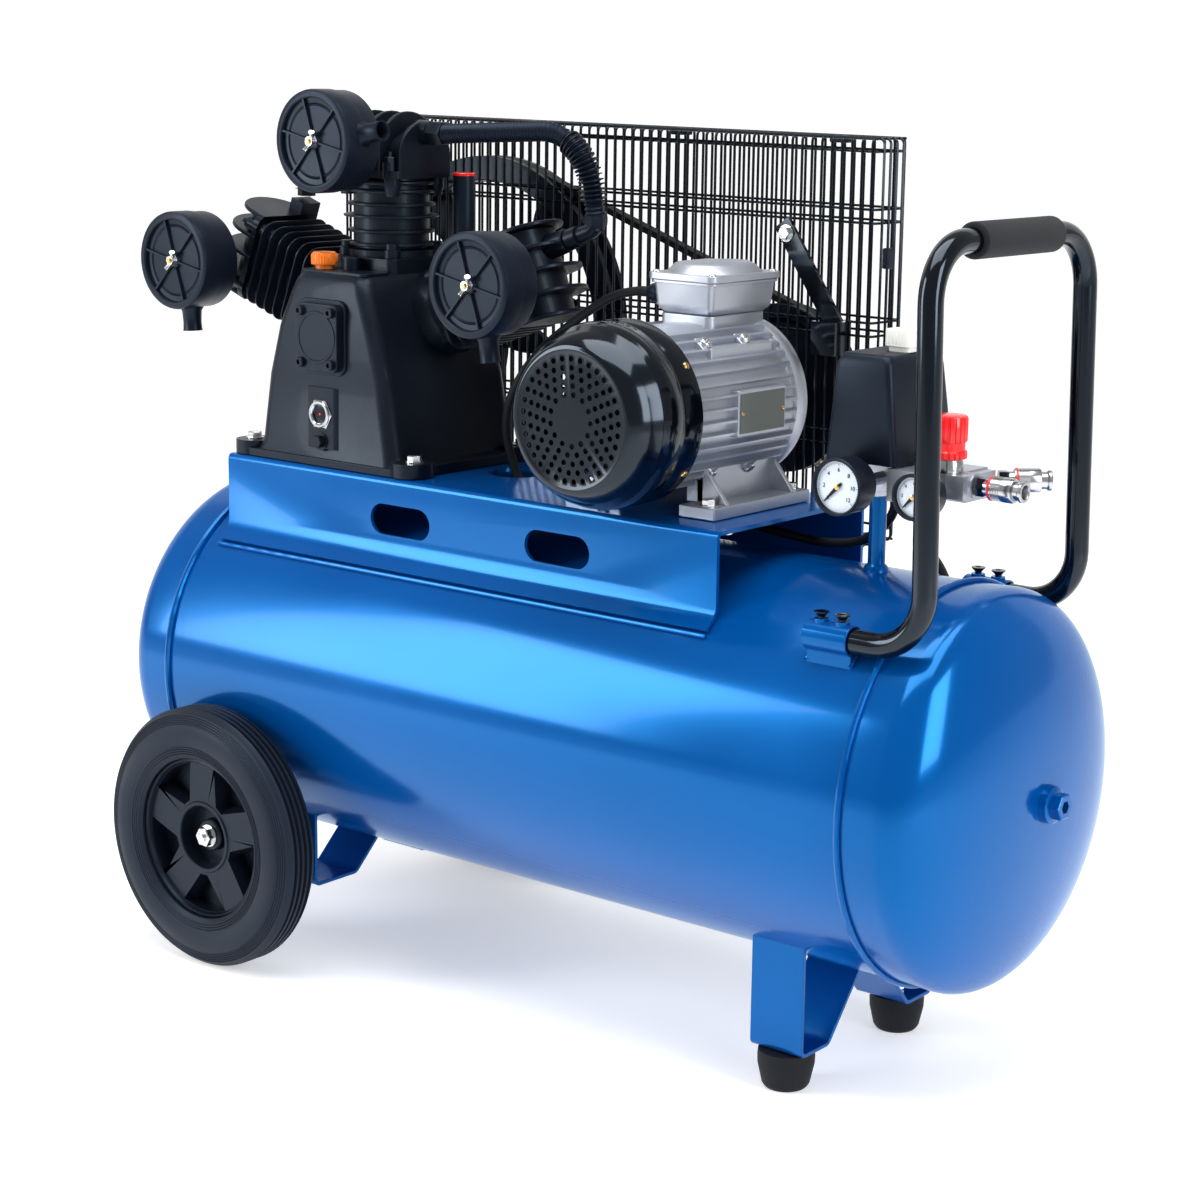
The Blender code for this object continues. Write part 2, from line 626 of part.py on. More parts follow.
def cylinder_head(name, side, start, height):
    """Head with a row of arched fins; the fins stand across the crank axis."""
    rings = []
    base = start + GAP
    for k in range(5):
        centre = -0.044 + 0.022 * k
        for x, tall in ((centre - 0.0035, True), (centre + 0.0035, True), (centre + 0.0036, False),
                        (centre + 0.0184, False)):
            if k == 4 and not tall:
                continue
            rise, half = (height, 0.043) if tall else (height - 0.018, 0.036)
            foot = height - 0.038
            ring = [(x, -half, base), (x, half, base), (x, half, base + foot)]
            for i in range(1, 6):
                angle = math.pi * i / 6
                ring.append((x, half * math.cos(angle), base + foot + (rise - foot) * math.sin(angle)))
            ring.append((x, -half, base + foot))
            rings.append(ring)
    bm = loft(rings)
    bmesh.ops.transform(bm, matrix=bank_matrix(side), verts=bm.verts)
    head = mesh_object(name, bm, "black_casting")
    if side == 0:
        pipe_boss = [(0.012, -PIPE_BOSS), (0.012, PIPE_BOSS)]
        return join(head, turned(pipe_boss, "X", (PUMP_X, CYLINDER_Y["top"], PIPE_Z), 12))
    if side == 1:
        boss = turned([(0.012, base + 0.02), (0.012, base + height + 0.004)], "Z", (-0.022, 0, 0), 12)
    else:
        boss = box((0.038, 0.016, base + 0.0005), (0.060, 0.042, base + 0.0185))
    bmesh.ops.transform(boss, matrix=bank_matrix(side), verts=boss.verts)
    return join(head, boss)


def air_filter(name, x, z, back_y, snout):
    """Drum filter on its intake stub, with its wing nut and its intake snout."""
    front, rear = FILTER_Y
    profile = [(0, rear), (FILTER_RADIUS - 0.001, rear), (FILTER_RADIUS, front + 0.004),
               (FILTER_RADIUS - 0.003, front), (0.043, front), (0.042, front + 0.005), (0.010, front + 0.005),
               (0.007, front - 0.001), (0, front - 0.001)]
    drum = turned_piece(name, profile, "Y", (x, 0, z), 20, "black_plastic")
    stub = turned([(0.013, rear - 0.004), (0.013, back_y)], "Y", (x, 0, z), 12)
    wing = prism(obround(0.026, 0.006, (x, z), 2), "Y", front - 0.006, front + 0.001)
    middle = (front + rear) / 2
    start, end = Vector((x, middle, z)), Vector((x, middle, z)) + Vector(snout)
    spout = tube([start, end], 0.0095, 12)
    join(drum, stub, wing)
    return join(drum, spout)


def crankshaft():
    profile = [(0, -0.096), (0.012, -0.096), (0.012, -0.040), (0.024, -0.040), (0.024, -0.028), (0.012, -0.028),
               (0.012, 0.022), (0.024, 0.022), (0.024, 0.034), (0.014, 0.034), (0.014, 0.168), (0, 0.168)]
    return turned_piece("crankshaft", profile, "Y", (PUMP_X, 0, CRANK_Z), 16, "steel",
                        origin=(PUMP_X, 0, CRANK_Z))


def bearing_cover():
    outline = rounded_rectangle((PUMP_X - 0.029, CRANK_Z - 0.034), (PUMP_X + 0.029, CRANK_Z + 0.034), 0.008, 3)
    cover = mesh_object("bearing_cover", prism(outline, "Y", -0.116, -0.1066), "black_casting")
    return join(cover, turned([(0.023, -0.119), (0.023, -0.115)], "Y", (PUMP_X, 0, CRANK_Z), 20))


def sight_glass():
    glass = turned_piece("sight_glass", [(0, -0.1066), (0.0115, -0.1066), (0.0115, -0.112), (0.0085, -0.1125),
                                         (0.0085, -0.111), (0, -0.111)], "Y", (PUMP_X - 0.001, 0, 0.565), 16,
                         "chrome")
    nut = turned([(0.013, -0.1067), (0.013, -0.1105)], "Y", (PUMP_X - 0.001, 0, 0.565), 6)
    bore = turned([(0.0085, -0.109), (0.0085, -0.12)], "Y", (PUMP_X - 0.001, 0, 0.565), 16)
    return cut(join(glass, nut), bore)


def oil_cap():
    x, y, top = PUMP_X - 0.030, -0.074, 0.7065
    profile = [(0, top + GAP), (0.009, top + GAP), (0.009, top + 0.005), (0.0135, top + 0.005),
               (0.0135, top + 0.016), (0.0115, top + 0.018), (0, top + 0.018)]
    return turned_piece("oil_cap", profile, "Z", (x, y, 0), 16, "orange_plastic", origin=(x, y, top + GAP))


def flywheel():
    """Spoked pulley of the pump; its blades also blow air over the cylinders."""
    outer = FLYWHEEL_RADIUS
    groove = FLYWHEEL_RADIUS - GROOVE_DEPTH
    half = BELT_HALF_WIDTH + 0.0006
    rim = 0.013
    profile = [(outer, BELT_Y - rim), (outer, BELT_Y - half), (groove, BELT_Y - half),
               (groove, BELT_Y + half), (outer, BELT_Y + half), (outer, BELT_Y + rim),
               (outer - 0.026, BELT_Y + rim), (outer - 0.026, BELT_Y - rim)]
    wheel = turned_piece("flywheel", profile, "Y", (PUMP_X, 0, CRANK_Z), 30, "black_casting", ring=True)
    spokes = [turned([(0.030, BELT_Y - 0.018), (0.030, BELT_Y + 0.016)], "Y", (PUMP_X, 0, CRANK_Z), 20)]
    for k in range(5):
        blade = box((0.012, -0.021, -0.004), (outer - 0.018, 0.021, 0.004))
        pitch = Matrix.Rotation(math.radians(14), 4, "X")
        lay = Matrix.Rotation(math.radians(90), 4, "X")
        turn = Matrix.Rotation(math.radians(72 * k + 18), 4, "Y")
        place = Matrix.Translation((PUMP_X, BELT_Y, CRANK_Z)) @ turn @ lay @ pitch
        bmesh.ops.transform(blade, matrix=place, verts=blade.verts)
        spokes.append(blade)
    join(wheel, *spokes)
    cut(wheel, turned([(0.0144, BELT_Y - 0.03), (0.0144, BELT_Y + 0.03)], "Y", (PUMP_X, 0, CRANK_Z), 16))
    wheel.data.transform(Matrix.Translation((-PUMP_X, 0, -CRANK_Z)))
    wheel.location = (PUMP_X, 0, CRANK_Z)
    return wheel


def drive_belt():
    """V-belt round flywheel and motor pulley."""
    big = FLYWHEEL_RADIUS - GROOVE_DEPTH + 0.0018
    small = PULLEY_RADIUS - GROOVE_DEPTH + 0.0018
    start, end = Vector((PUMP_X, CRANK_Z)), Vector((MOTOR_X, MOTOR_Z))
    line = end - start
    lean = math.atan2(line.y, line.x)
    spread = math.acos((big - small) / line.length)
    loop = []
    for centre, radius, first, last, steps in ((start, big, spread, 2 * math.pi - spread, 30),
                                               (end, small, -spread, spread, 18)):
        for i in range(steps + 1):
            angle = lean + first + (last - first) * i / steps
            loop.append((centre, radius, angle))
    rings = []
    low, high = BELT_Y - BELT_HALF_WIDTH, BELT_Y + BELT_HALF_WIDTH
    for centre, radius, angle in loop:
        ring = []
        for extra, y in ((0, low), (0, high), (BELT_DEPTH, high), (BELT_DEPTH, low)):
            reach = radius + extra
            ring.append((centre.x + reach * math.cos(angle), y, centre.y + reach * math.sin(angle)))
        rings.append(ring)
    return mesh_object("drive_belt", loft(rings, closed=True), "rubber")


def breather_tube():
    profile = [(0, 0.7078), (0.0055, 0.7078), (0.0055, 0.7225), (0.0115, 0.7225), (0.0115, 0.806),
               (0.008, 0.806), (0.008, 0.740), (0, 0.740)]
    return turned_piece("breather_tube", profile, "Z", (PUMP_X + 0.065, 0.030, 0), 12, "black_plastic")


def discharge_tube():
    """Finned pipe from the top head to the right head."""
    start = (PUMP_X + PIPE_BOSS + 0.0012, CYLINDER_Y["top"], PIPE_Z)
    corners = [start, (-0.014, CYLINDER_Y["top"], 0.856), (-0.006, 0.004, 0.762), (-0.0422, 0.004, 0.7489)]
    route = rounded_route(corners, (0.055, 0.014), 5)
    return mesh_object("discharge_tube", tube(route, 0.0095, 12), "black_plastic")


def intercooler_tube():
    """Finned pipe from the top head to the left head."""
    start = (PUMP_X - PIPE_BOSS - 0.0012, CYLINDER_Y["top"], PIPE_Z)
    corners = [start, (-0.405, CYLINDER_Y["top"], PIPE_Z), (-0.431, 0.029, 0.832), (-0.432, 0.029, 0.7705)]
    route = rounded_route(corners, (0.022, 0.018), 4)
    return mesh_object("intercooler_tube", tube(route, 0.009, 12), "black_plastic")


# ---------------------------------------------------------------- motor
def motor_housing():
    """Finned body with drive end flange, bore and feet."""
    outline = []
    fins = 16
    for k in range(fins):
        for part, radius in ((0.0, MOTOR_RADIUS), (0.25, MOTOR_RADIUS), (0.35, 0.077), (0.9, 0.077)):
            angle = 2 * math.pi * (k + part) / fins
            outline.append((MOTOR_X + radius * math.cos(angle), MOTOR_Z + radius * math.sin(angle)))
    body = mesh_object("motor_housing", prism(outline, "Y", MOTOR_JOINT_Y + GAP, 0.062), "aluminium")
    bell = turned([(0.080, 0.0615), (0.080, 0.078), (0.060, MOTOR_END_Y), (0.028, MOTOR_END_Y)], "Y",
                  (MOTOR_X, 0, MOTOR_Z), 28)
    feet = []
    for side in (-1, 1):
        inner, outer = sorted((MOTOR_X + side * 0.050, MOTOR_X + side * 0.089))
        feet.append(box((inner, -0.082, PLATE_TOP + GAP), (outer, 0.070, PLATE_TOP + 0.012)))
        inner, outer = sorted((MOTOR_X + side * 0.044, MOTOR_X + side * 0.062))
        feet.append(box((inner, -0.060, PLATE_TOP + 0.010), (outer, 0.050, MOTOR_Z - 0.050)))
    pad = box((MOTOR_X - 0.030, -0.014, MOTOR_Z + 0.070), (MOTOR_X + 0.030, 0.070, 0.6895))
    join(body, bell, *feet, pad)
    return cut(body, turned([(SHAFT_RADIUS + 0.0006, -0.2), (SHAFT_RADIUS + 0.0006, 0.2)], "Y",
                            (MOTOR_X, 0, MOTOR_Z), 16))


def motor_fan_cover():
    """Pressed cover: a cup with a dished rim and an air grille in its face."""
    front, rear = MOTOR_FRONT_Y, MOTOR_JOINT_Y
    radius = COVER_RADIUS
    wall = COVER_WALL
    profile = [(0, front + 0.001), (0.064, front + 0.001), (0.068, front), (radius - 0.003, front + 0.028),
               (radius, front + 0.040), (radius, rear), (radius - wall, rear), (radius - wall, front + 0.040),
               (radius - 0.003 - wall, front + 0.029), (0.067, front + wall + 0.0005),
               (0, front + wall + 0.001)]
    cover = turned_piece("motor_fan_cover", profile, "Y", (MOTOR_X, 0, MOTOR_Z), 24, "black_gloss")
    holes = []
    for k in range(6):
        angle = 2 * math.pi * k / 6
        centre = (MOTOR_X + 0.043 * math.cos(angle), 0, MOTOR_Z + 0.043 * math.sin(angle))
        holes.append(turned([(0.011, front - 0.01), (0.011, front + 0.01)], "Y", centre, 6))
    return cut(cover, *holes)


def motor_fan():
    hub = turned_piece("motor_fan", [(0.030, -0.160), (0.030, -0.1565), (0.022, -0.1565), (0.022, -0.125),
                                     (SHAFT_RADIUS + 0.0004, -0.125), (SHAFT_RADIUS + 0.0004, -0.160)], "Y",
                       (MOTOR_X, 0, MOTOR_Z), 20, "black_plastic", ring=True)
    blades = []
    for k in range(6):
        blade = box((0.018, -0.1575, -0.0015), (0.068, -0.128, 0.0015))
        place = Matrix.Translation((MOTOR_X, 0, MOTOR_Z)) @ Matrix.Rotation(math.radians(60 * k), 4, "Y")
        bmesh.ops.transform(blade, matrix=place, verts=blade.verts)
        blades.append(blade)
    join(hub, *blades)
    hub.data.transform(Matrix.Translation((-MOTOR_X, 0, -MOTOR_Z)))
    hub.location = (MOTOR_X, 0, MOTOR_Z)
    return hub


def motor_shaft():
    profile = [(0, -0.162), (SHAFT_RADIUS, -0.162), (SHAFT_RADIUS, 0.168), (0, 0.168)]
    return turned_piece("motor_shaft", profile, "Y", (MOTOR_X, 0, MOTOR_Z), 16, "steel",
                        origin=(MOTOR_X, 0, MOTOR_Z))


def motor_pulley():
    outer = PULLEY_RADIUS
    groove = PULLEY_RADIUS - GROOVE_DEPTH
    half = BELT_HALF_WIDTH + 0.0006
    bore = SHAFT_RADIUS + 0.0004
    profile = [(bore, BELT_Y - 0.018), (0.024, BELT_Y - 0.018), (0.030, BELT_Y - 0.009),
               (outer, BELT_Y - 0.011), (outer, BELT_Y - half), (groove, BELT_Y - half),
               (groove, BELT_Y + half), (outer, BELT_Y + half), (outer, BELT_Y + 0.011),
               (0.030, BELT_Y + 0.009), (0.024, BELT_Y + 0.016), (bore, BELT_Y + 0.016)]
    return turned_piece("motor_pulley", profile, "Y", (MOTOR_X, 0, MOTOR_Z), 22, "black_casting", ring=True,
                        origin=(MOTOR_X, 0, MOTOR_Z))


def terminal_box():
    low, high = (MOTOR_X - 0.034, -0.019), (MOTOR_X + 0.034, 0.079)
    rings = []
    for z, grow in ((0.6910, 0.0), (0.7215, 0.002)):
        outline = rounded_rectangle((low[0] - grow, low[1] - grow), (high[0] + grow, high[1] + grow), 0.006, 2)
        rings.append([(x, y, z) for x, y in outline])
    shell = mesh_object("terminal_box", loft(rings), "aluminium")
    gland = turned([(0.009, MOTOR_X - 0.054), (0.009, MOTOR_X - 0.030)], "X", (0, 0.000, 0.7065), 12)
    join(shell, gland)
    hollow = box((low[0] + 0.003, low[1] + 0.003, 0.693), (high[0] - 0.003, high[1] - 0.003, 0.73))
    return cut(shell, hollow)


def terminal_box_lid():
    rings = []
    for z, inset in ((0.7219, 0.0), (0.7285, 0.0), (0.7290, 0.004), (0.7375, 0.014)):
        outline = rounded_rectangle((MOTOR_X - 0.040 + inset, -0.025 + inset),
                                    (MOTOR_X + 0.040 - inset, 0.085 - inset), 0.008, 2)
        rings.append([(x, y, z) for x, y in outline])
    return mesh_object("terminal_box_lid", loft(rings), "aluminium")


# ---------------------------------------------------------------- belt guard
def guard_slots(low, high, pitch, bands):
    """Cutters for upright slots between the guard's bars, in bands of (bottom, top)."""
    cutters = []
    count = int((high - low) / pitch)
    start = (low + high - count * pitch) / 2
    for bottom, top in bands:
        for k in range(count):
            x = start + k * pitch
            cutters.append((x + 0.002, bottom, x + pitch - 0.002, top))
    return cutters


def slotted(name, bm, y_low, y_high):
    """Cut the guard panel's slots with one cutter mesh."""
    panel = mesh_object(name, bm, "black_wire")
    bands = ((GUARD_Z[0] + 0.016, 0.652), (0.664, GUARD_Z[1] - 0.016))
    cutter = bmesh.new()
    for x0, z0, x1, z1 in guard_slots(GUARD_X[0] + 0.014, GUARD_X[1] - 0.014, GUARD_PITCH, bands):
        corners = []
        for y in (y_low, y_high):
            corners.append([cutter.verts.new(p) for p in ((x0, y, z0), (x1, y, z0), (x1, y, z1), (x0, y, z1))])
        a, b = corners
        for i in range(4):
            j = (i + 1) % 4
            cutter.faces.new((a[i], a[j], b[j], b[i]))
        cutter.faces.new(a)
        cutter.faces.new(b)
    return cut(panel, cutter)


def belt_guard_front():
    y0, y1 = GUARD_Y[0], GUARD_Y[0] + GUARD_WALL
    inset = GUARD_WALL + 0.0006
    outline = rounded_rectangle((GUARD_X[0] + inset, GUARD_Z[0] + inset),
                                (GUARD_X[1] - inset, GUARD_Z[1] - inset), 0.009, 3)
    panel = slotted("belt_guard_front", prism(outline, "Y", y0, y1), y0 - 0.01, y1 + 0.01)
    plates = [turned([(0.036, y0), (0.036, y1)], "Y", (PUMP_X, 0, CRANK_Z), 16),
              turned([(0.036, y0), (0.036, y1)], "Y", (MOTOR_X, 0, MOTOR_Z), 16)]
    join(panel, *plates)
    holes = [turned([(0.020, y0 - 0.01), (0.020, y1 + 0.01)], "Y", (PUMP_X, 0, CRANK_Z), 16),
             turned([(0.020, y0 - 0.01), (0.020, y1 + 0.01)], "Y", (MOTOR_X, 0, MOTOR_Z), 16)]
    return cut(panel, *holes)


def belt_guard_rim():
    """Band that closes the guard all round, between its two panels."""
    rings = []
    for inset, corner in ((0, 0.012), (GUARD_WALL, 0.009)):
        outline = rounded_rectangle((GUARD_X[0] + inset, GUARD_Z[0] + inset),
                                    (GUARD_X[1] - inset, GUARD_Z[1] - inset), corner, 3)
        ends = [GUARD_Y[0], GUARD_Y[1] - GUARD_WALL - GAP]
        if inset:
            ends.reverse()
        rings += [[(x, y, z) for x, z in outline] for y in ends]
    return mesh_object("belt_guard_rim", loft(rings, closed=True), "black_wire")


def belt_guard_back():
    outline = rounded_rectangle((GUARD_X[0], GUARD_Z[0]), (GUARD_X[1], GUARD_Z[1]), 0.012, 3)
    low, high = GUARD_Y[1] - GUARD_WALL, GUARD_Y[1]
    return slotted("belt_guard_back", prism(outline, "Y", low, high), low - 0.01, high + 0.01)


def guard_strut():
    """Flat bar from the guard down to the motor's drive end."""
    top, foot = Vector((0.138, 0.762)), Vector((0.197, 0.676))
    along = (foot - top).normalized()
    across = Vector((-along.y, along.x)) * 0.0095
    outline = []
    for end, way in ((top, -1), (foot, 1)):
        for turn in (1, -1):
            outline.append(tuple(end + along * (way * 0.012) + across * turn * way))
    bar = mesh_object("guard_strut", prism(outline, "Y", 0.1175, GUARD_Y[0] - GAP), "black_gloss")
    foot_low = box((0.186, 0.094, 0.650), (0.214, 0.1215, 0.682))
    return join(bar, foot_low)


# ---------------------------------------------------------------- pressure switch group
def manifold():
    """Cast distributor with gauge stubs, regulator body and outlet tee."""
    z0, z1 = MANIFOLD_Z
    block = mesh_object("manifold", box((0.314, -0.018, z0), (0.434, 0.018, z1)), "aluminium")
    x, y = REGULATOR
    _, outlet_y, outlet_z = COUPLERS["front"][0]
    pieces = [box((0.371, -0.048, 0.548), (0.406, -0.010, 0.577)),
              turned([(0.0125, z1 - 0.01), (0.0125, 0.5885)], "Z", (x, y, 0), 16),
              turned([(0.0115, 0.430), (0.0115, 0.4455)], "X", (0, outlet_y, outlet_z), 12)]
    for gauge_x, gauge_z, radius, face in GAUGES.values():
        pieces.append(turned([(0.006, -0.010), (0.006, face + 0.0308)], "Y", (gauge_x, 0, gauge_z), 10))
    pieces.append(box((0.425, -0.038, 0.5555), (0.4435, 0.016, 0.5765)))
    return join(block, *pieces)


def safety_valve():
    """Brass relief valve on the left end of the manifold."""
    profile = [(0, 0.3135), (0.006, 0.3135), (0.006, 0.308), (0.0085, 0.308), (0.0085, 0.284), (0.006, 0.284),
               (0.006, 0.276), (0, 0.276)]
    return turned_piece("safety_valve", profile, "X", (0, -0.010, 0.564), 12, "brass")


def pressure_switch():
    rings = []
    for z, x0, x1, y in ((SWITCH_Z[0], 0.3047, 0.3793, 0.050), (0.666, 0.3105, 0.3690, 0.046),
                         (SWITCH_Z[1], 0.3135, 0.3660, 0.043)):
        rings.append([(a, b, z) for a, b in rounded_rectangle((x0, -y), (x1, y), 0.004, 2)])
    return mesh_object("pressure_switch", loft(rings), "black_plastic")


def switch_knob():
    x, top = 0.352, SWITCH_Z[1]
    outline = rounded_rectangle((x - 0.014, -0.011), (x + 0.014, 0.011), 0.005, 3)
    return mesh_object("switch_knob", prism(outline, "Z", top + 0.0045, top + 0.020), "white_plastic",
                       (x, 0, top + 0.0045))


def gauge(which):
    x, z, radius, face = GAUGES[which]
    profile = [(0, face + 0.030), (radius - 0.004, face + 0.030), (radius, face + 0.026),
               (radius, face + 0.001), (radius - 0.001, face), (radius - 0.003, face),
               (radius - 0.003, face + 0.005), (0, face + 0.005)]
    return turned_piece("pressure_gauge_" + which, profile, "Y", (x, 0, z), 18, "black_plastic")


def needle(which):
    x, z, radius, face = GAUGES[which]
    reach = radius - 0.006
    outline = [(x - 0.0020, z), (x - 0.0008, z - 0.005), (x + 0.0008, z - 0.005), (x + 0.0020, z),
               (x + 0.0004, z + reach), (x - 0.0004, z + reach)]
    turn = Matrix.Rotation(math.radians(-135), 4, "Y")
    bm = prism(outline, "Y", face + 0.003, face + 0.0042)
    place = Matrix.Translation((x, 0, z)) @ turn @ Matrix.Translation((-x, 0, -z))
    bmesh.ops.transform(bm, matrix=place, verts=bm.verts)
    return mesh_object("needle_" + which, bm, "black_plastic", (x, face + 0.003, z))


def regulator_knob():
    x, y = REGULATOR
    outline = []
    for k in range(12):
        for part, radius in ((0.0, 0.0165), (0.7, 0.0165), (0.85, 0.0155)):
            angle = 2 * math.pi * (k + part) / 12
            outline.append((x + radius * math.cos(angle), y + radius * math.sin(angle)))
    return mesh_object("regulator_knob", prism(outline, "Z", 0.5889, 0.627), "red_plastic", (x, y, 0.5889))


def coupler_place(which):
    start, turn = COUPLERS[which]
    return Matrix.Translation(start) @ Matrix.Rotation(turn, 4, "Z")


def coupler(which):
    """Quick coupler body: hex nipple, barrel and mouth."""
    profile = [(0, 0.0022), (0.0085, 0.0022), (0.0085, 0.012), (0.0080, 0.012), (0.0080, 0.046),
               (0.0095, 0.047), (0.0095, 0.0500), (0.006, 0.0500), (0.006, 0.030), (0, 0.030)]
    bm = turned(profile, "X", (0, 0, 0), 16)
    bmesh.ops.transform(bm, matrix=coupler_place(which), verts=bm.verts)
    return mesh_object("coupler_" + which, bm, "chrome")


def coupler_collar(which):
    profile = [(0.0083, 0.0160), (0.0110, 0.0165), (0.0110, 0.0395), (0.0083, 0.0400)]
    bm = turned(profile, "X", (0, 0, 0), 20, ring=True)
    place = coupler_place(which)
    bmesh.ops.transform(bm, matrix=place, verts=bm.verts)
    return mesh_object("coupler_collar_" + which, bm, "chrome", place.translation)


# ---------------------------------------------------------------- cables
def smooth_route(points, count):
    """Points evenly spaced by parameter on a Catmull-Rom curve through the route."""
    route = [Vector(p) for p in points]
    route = [route[0] * 2 - route[1]] + route + [route[-1] * 2 - route[-2]]
    made = []
    spans = len(route) - 3
    for i in range(count):
        at = spans * i / (count - 1)
        k = min(int(at), spans - 1)
        t = at - k
        a, b, c, d = route[k:k + 4]
        made.append(((b * 2) + (c - a) * t + (a * 2 - b * 5 + c * 4 - d) * t ** 2
                     + (b * 3 - a - c * 3 + d) * t ** 3) / 2)
    return made


def cable(name, points, radius, count):
    """A round cable along a smooth curve, as a capped curve object."""
    curve = bpy.data.curves.new(name, "CURVE")
    curve.dimensions = "3D"
    curve.bevel_depth = radius
    curve.bevel_resolution = 2
    curve.use_fill_caps = True
    line = curve.splines.new("POLY")
    line.points.add(count - 1)
    for slot, point in zip(line.points, smooth_route(points, count)):
        slot.co = (*point, 1.0)
    made = bpy.data.objects.new(name, curve)
    made.data.materials.append(material("rubber"))
    bpy.context.scene.collection.objects.link(made)
    return made


MOTOR_CABLE_ROUTE = [(0.0625, 0.000, 0.7065), (0.050, 0.000, 0.7065), (0.022, -0.001, 0.7000),
                     (-0.006, -0.003, 0.6850), (-0.038, -0.005, 0.6630), (-0.068, -0.007, 0.6390),
                     (-0.092, -0.008, 0.6120), (-0.108, -0.008, 0.5830), (-0.1135, -0.006, 0.5550),
                     (-0.109, -0.004, 0.5300), (-0.100, -0.002, 0.5080), (-0.086, 0.002, 0.4930),
                     (-0.060, 0.020, 0.4870), (-0.010, 0.045, 0.4860), (0.060, 0.060, 0.4860),
                     (0.130, 0.062, 0.4840), (0.190, 0.058, 0.4800), (0.240, 0.052, 0.4790),
                     (0.285, 0.050, 0.4880), (0.315, 0.045, 0.5120), (0.327, 0.040, 0.5400),
                     (0.330, 0.038, 0.5620), (0.330, 0.038, 0.5775)]

MAINS_ROUTE = [(0.352, 0.036, 0.5781), (0.352, 0.036, 0.5600), (0.3515, 0.037, 0.5350), (0.350, 0.042, 0.5090),
               (0.346, 0.057, 0.4900), (0.340, 0.083, 0.4750), (0.333, 0.113, 0.4540), (0.326, 0.142, 0.4250),
               (0.319, 0.167, 0.3880), (0.313, 0.184, 0.3450), (0.308, 0.194, 0.2950), (0.303, 0.198, 0.2400),
               (0.297, 0.200, 0.1850), (0.290, 0.204, 0.1300), (0.282, 0.210, 0.0820), (0.270, 0.219, 0.0440),
               (0.250, 0.231, 0.0190), (0.224, 0.243, 0.0075), (0.194, 0.251, 0.0047), (0.165, 0.2555, 0.0046),
               (0.140, 0.2564, 0.0046), (0.1119, 0.2564, 0.0046)]
PLUG_AT = (0.1438, 0.3636, 0.0195)


def mains_coil():
    """The spare lead, coiled flat on the floor."""
    half, height, chamfer = 0.0094, 0.0184, 0.0035
    low, high = COIL_RADIUS - half, COIL_RADIUS + half
    profile = [(low + chamfer, 0), (high - chamfer, 0), (high, chamfer), (high, height - chamfer),
               (high - chamfer, height), (low + chamfer, height), (low, height - chamfer), (low, chamfer)]
    return turned_piece("mains_coil", profile, "Z", (*COIL_CENTRE, 0), 24, "rubber", ring=True)


def mains_plug():
    """Plug body lying on its side with two pins."""
    x, y, z = PLUG_AT
    route = [(x - 0.0300, y, 0.0112), (x - 0.006, y, 0.0175), (x + 0.004, y, z), (x + 0.023, y, z),
             (x + 0.026, y, z)]
    radii = [0.006, 0.009, 0.0185, 0.0185, 0.0165]
    body = mesh_object("mains_plug", tube(route, 1.0, 14, radii=radii), "rubber")
    pins = []
    for side in (-1, 1):
        pins.append(turned([(0.0024, x + 0.020), (0.0024, x + 0.045)], "X", (0, y + side * 0.0095, z), 8))
    return join(body, *pins)


def build():
    clear_scene()
    air_tank()
    drain_knob()
    saddle_plate()
    foot_bracket()
    wheel_bracket()
    for side, end in ((-1, "front"), (1, "rear")):
        rubber_foot("rubber_foot_" + end, side)
        tyre("tyre_" + end, side)
        wheel_hub("wheel_hub_" + end, side)
    push_handle()
    handle_grip()
    crankcase()
    bearing_cover()
    sight_glass()
    oil_cap()
    crankshaft()
    for side, bank in ((-1, "left"), (0, "top"), (1, "right")):
        start, end, height = BANK_REACH[side]
        cylinder("cylinder_" + bank, side, start, end)
        cylinder_head("cylinder_head_" + bank, side, end, height)
    flywheel()
    drive_belt()
    breather_tube()
    discharge_tube()
    intercooler_tube()
    motor_housing()
    motor_fan_cover()
    motor_fan()
    motor_shaft()
    motor_pulley()
    terminal_box()
    terminal_box_lid()
    belt_guard_front()
    belt_guard_rim()
    belt_guard_back()
    guard_strut()
    manifold()
    safety_valve()
    pressure_switch()
    switch_knob()
    regulator_knob()
    for which in GAUGES:
        gauge(which)
        needle(which)
    for which in COUPLERS:
        coupler(which)
        coupler_collar(which)
    for bank, where in FILTERS.items():
        air_filter("air_filter_" + bank, *where)
    cable("motor_cable", MOTOR_CABLE_ROUTE, MOTOR_CABLE_RADIUS, 36)
    cable("mains_cord", MAINS_ROUTE, MAINS_CABLE_RADIUS, 48)
    mains_coil()
    mains_plug()


build()
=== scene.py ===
"""Looks of a belt-driven piston air compressor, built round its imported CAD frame."""
import math

import bmesh
import bpy
from mathutils import Matrix, Vector


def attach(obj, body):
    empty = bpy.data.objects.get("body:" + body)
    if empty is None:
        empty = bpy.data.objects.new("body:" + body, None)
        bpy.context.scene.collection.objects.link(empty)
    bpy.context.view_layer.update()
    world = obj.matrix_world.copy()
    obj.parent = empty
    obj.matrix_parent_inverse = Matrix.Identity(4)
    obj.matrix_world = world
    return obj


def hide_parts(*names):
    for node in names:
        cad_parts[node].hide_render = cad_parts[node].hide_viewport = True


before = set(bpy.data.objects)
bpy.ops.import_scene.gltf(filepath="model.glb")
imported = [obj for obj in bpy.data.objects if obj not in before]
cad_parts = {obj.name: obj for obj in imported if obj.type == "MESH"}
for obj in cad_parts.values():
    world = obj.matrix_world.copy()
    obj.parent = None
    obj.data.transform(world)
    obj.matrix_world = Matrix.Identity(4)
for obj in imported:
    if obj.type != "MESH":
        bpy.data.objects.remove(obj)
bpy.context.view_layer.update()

# ---------------------------------------------------------------- places, in the shared frame, metres
TANK_Z = 0.289
TANK_R = 0.185
SEAM_X = 0.4215
SKIRT = 0.034
DOME = 0.065
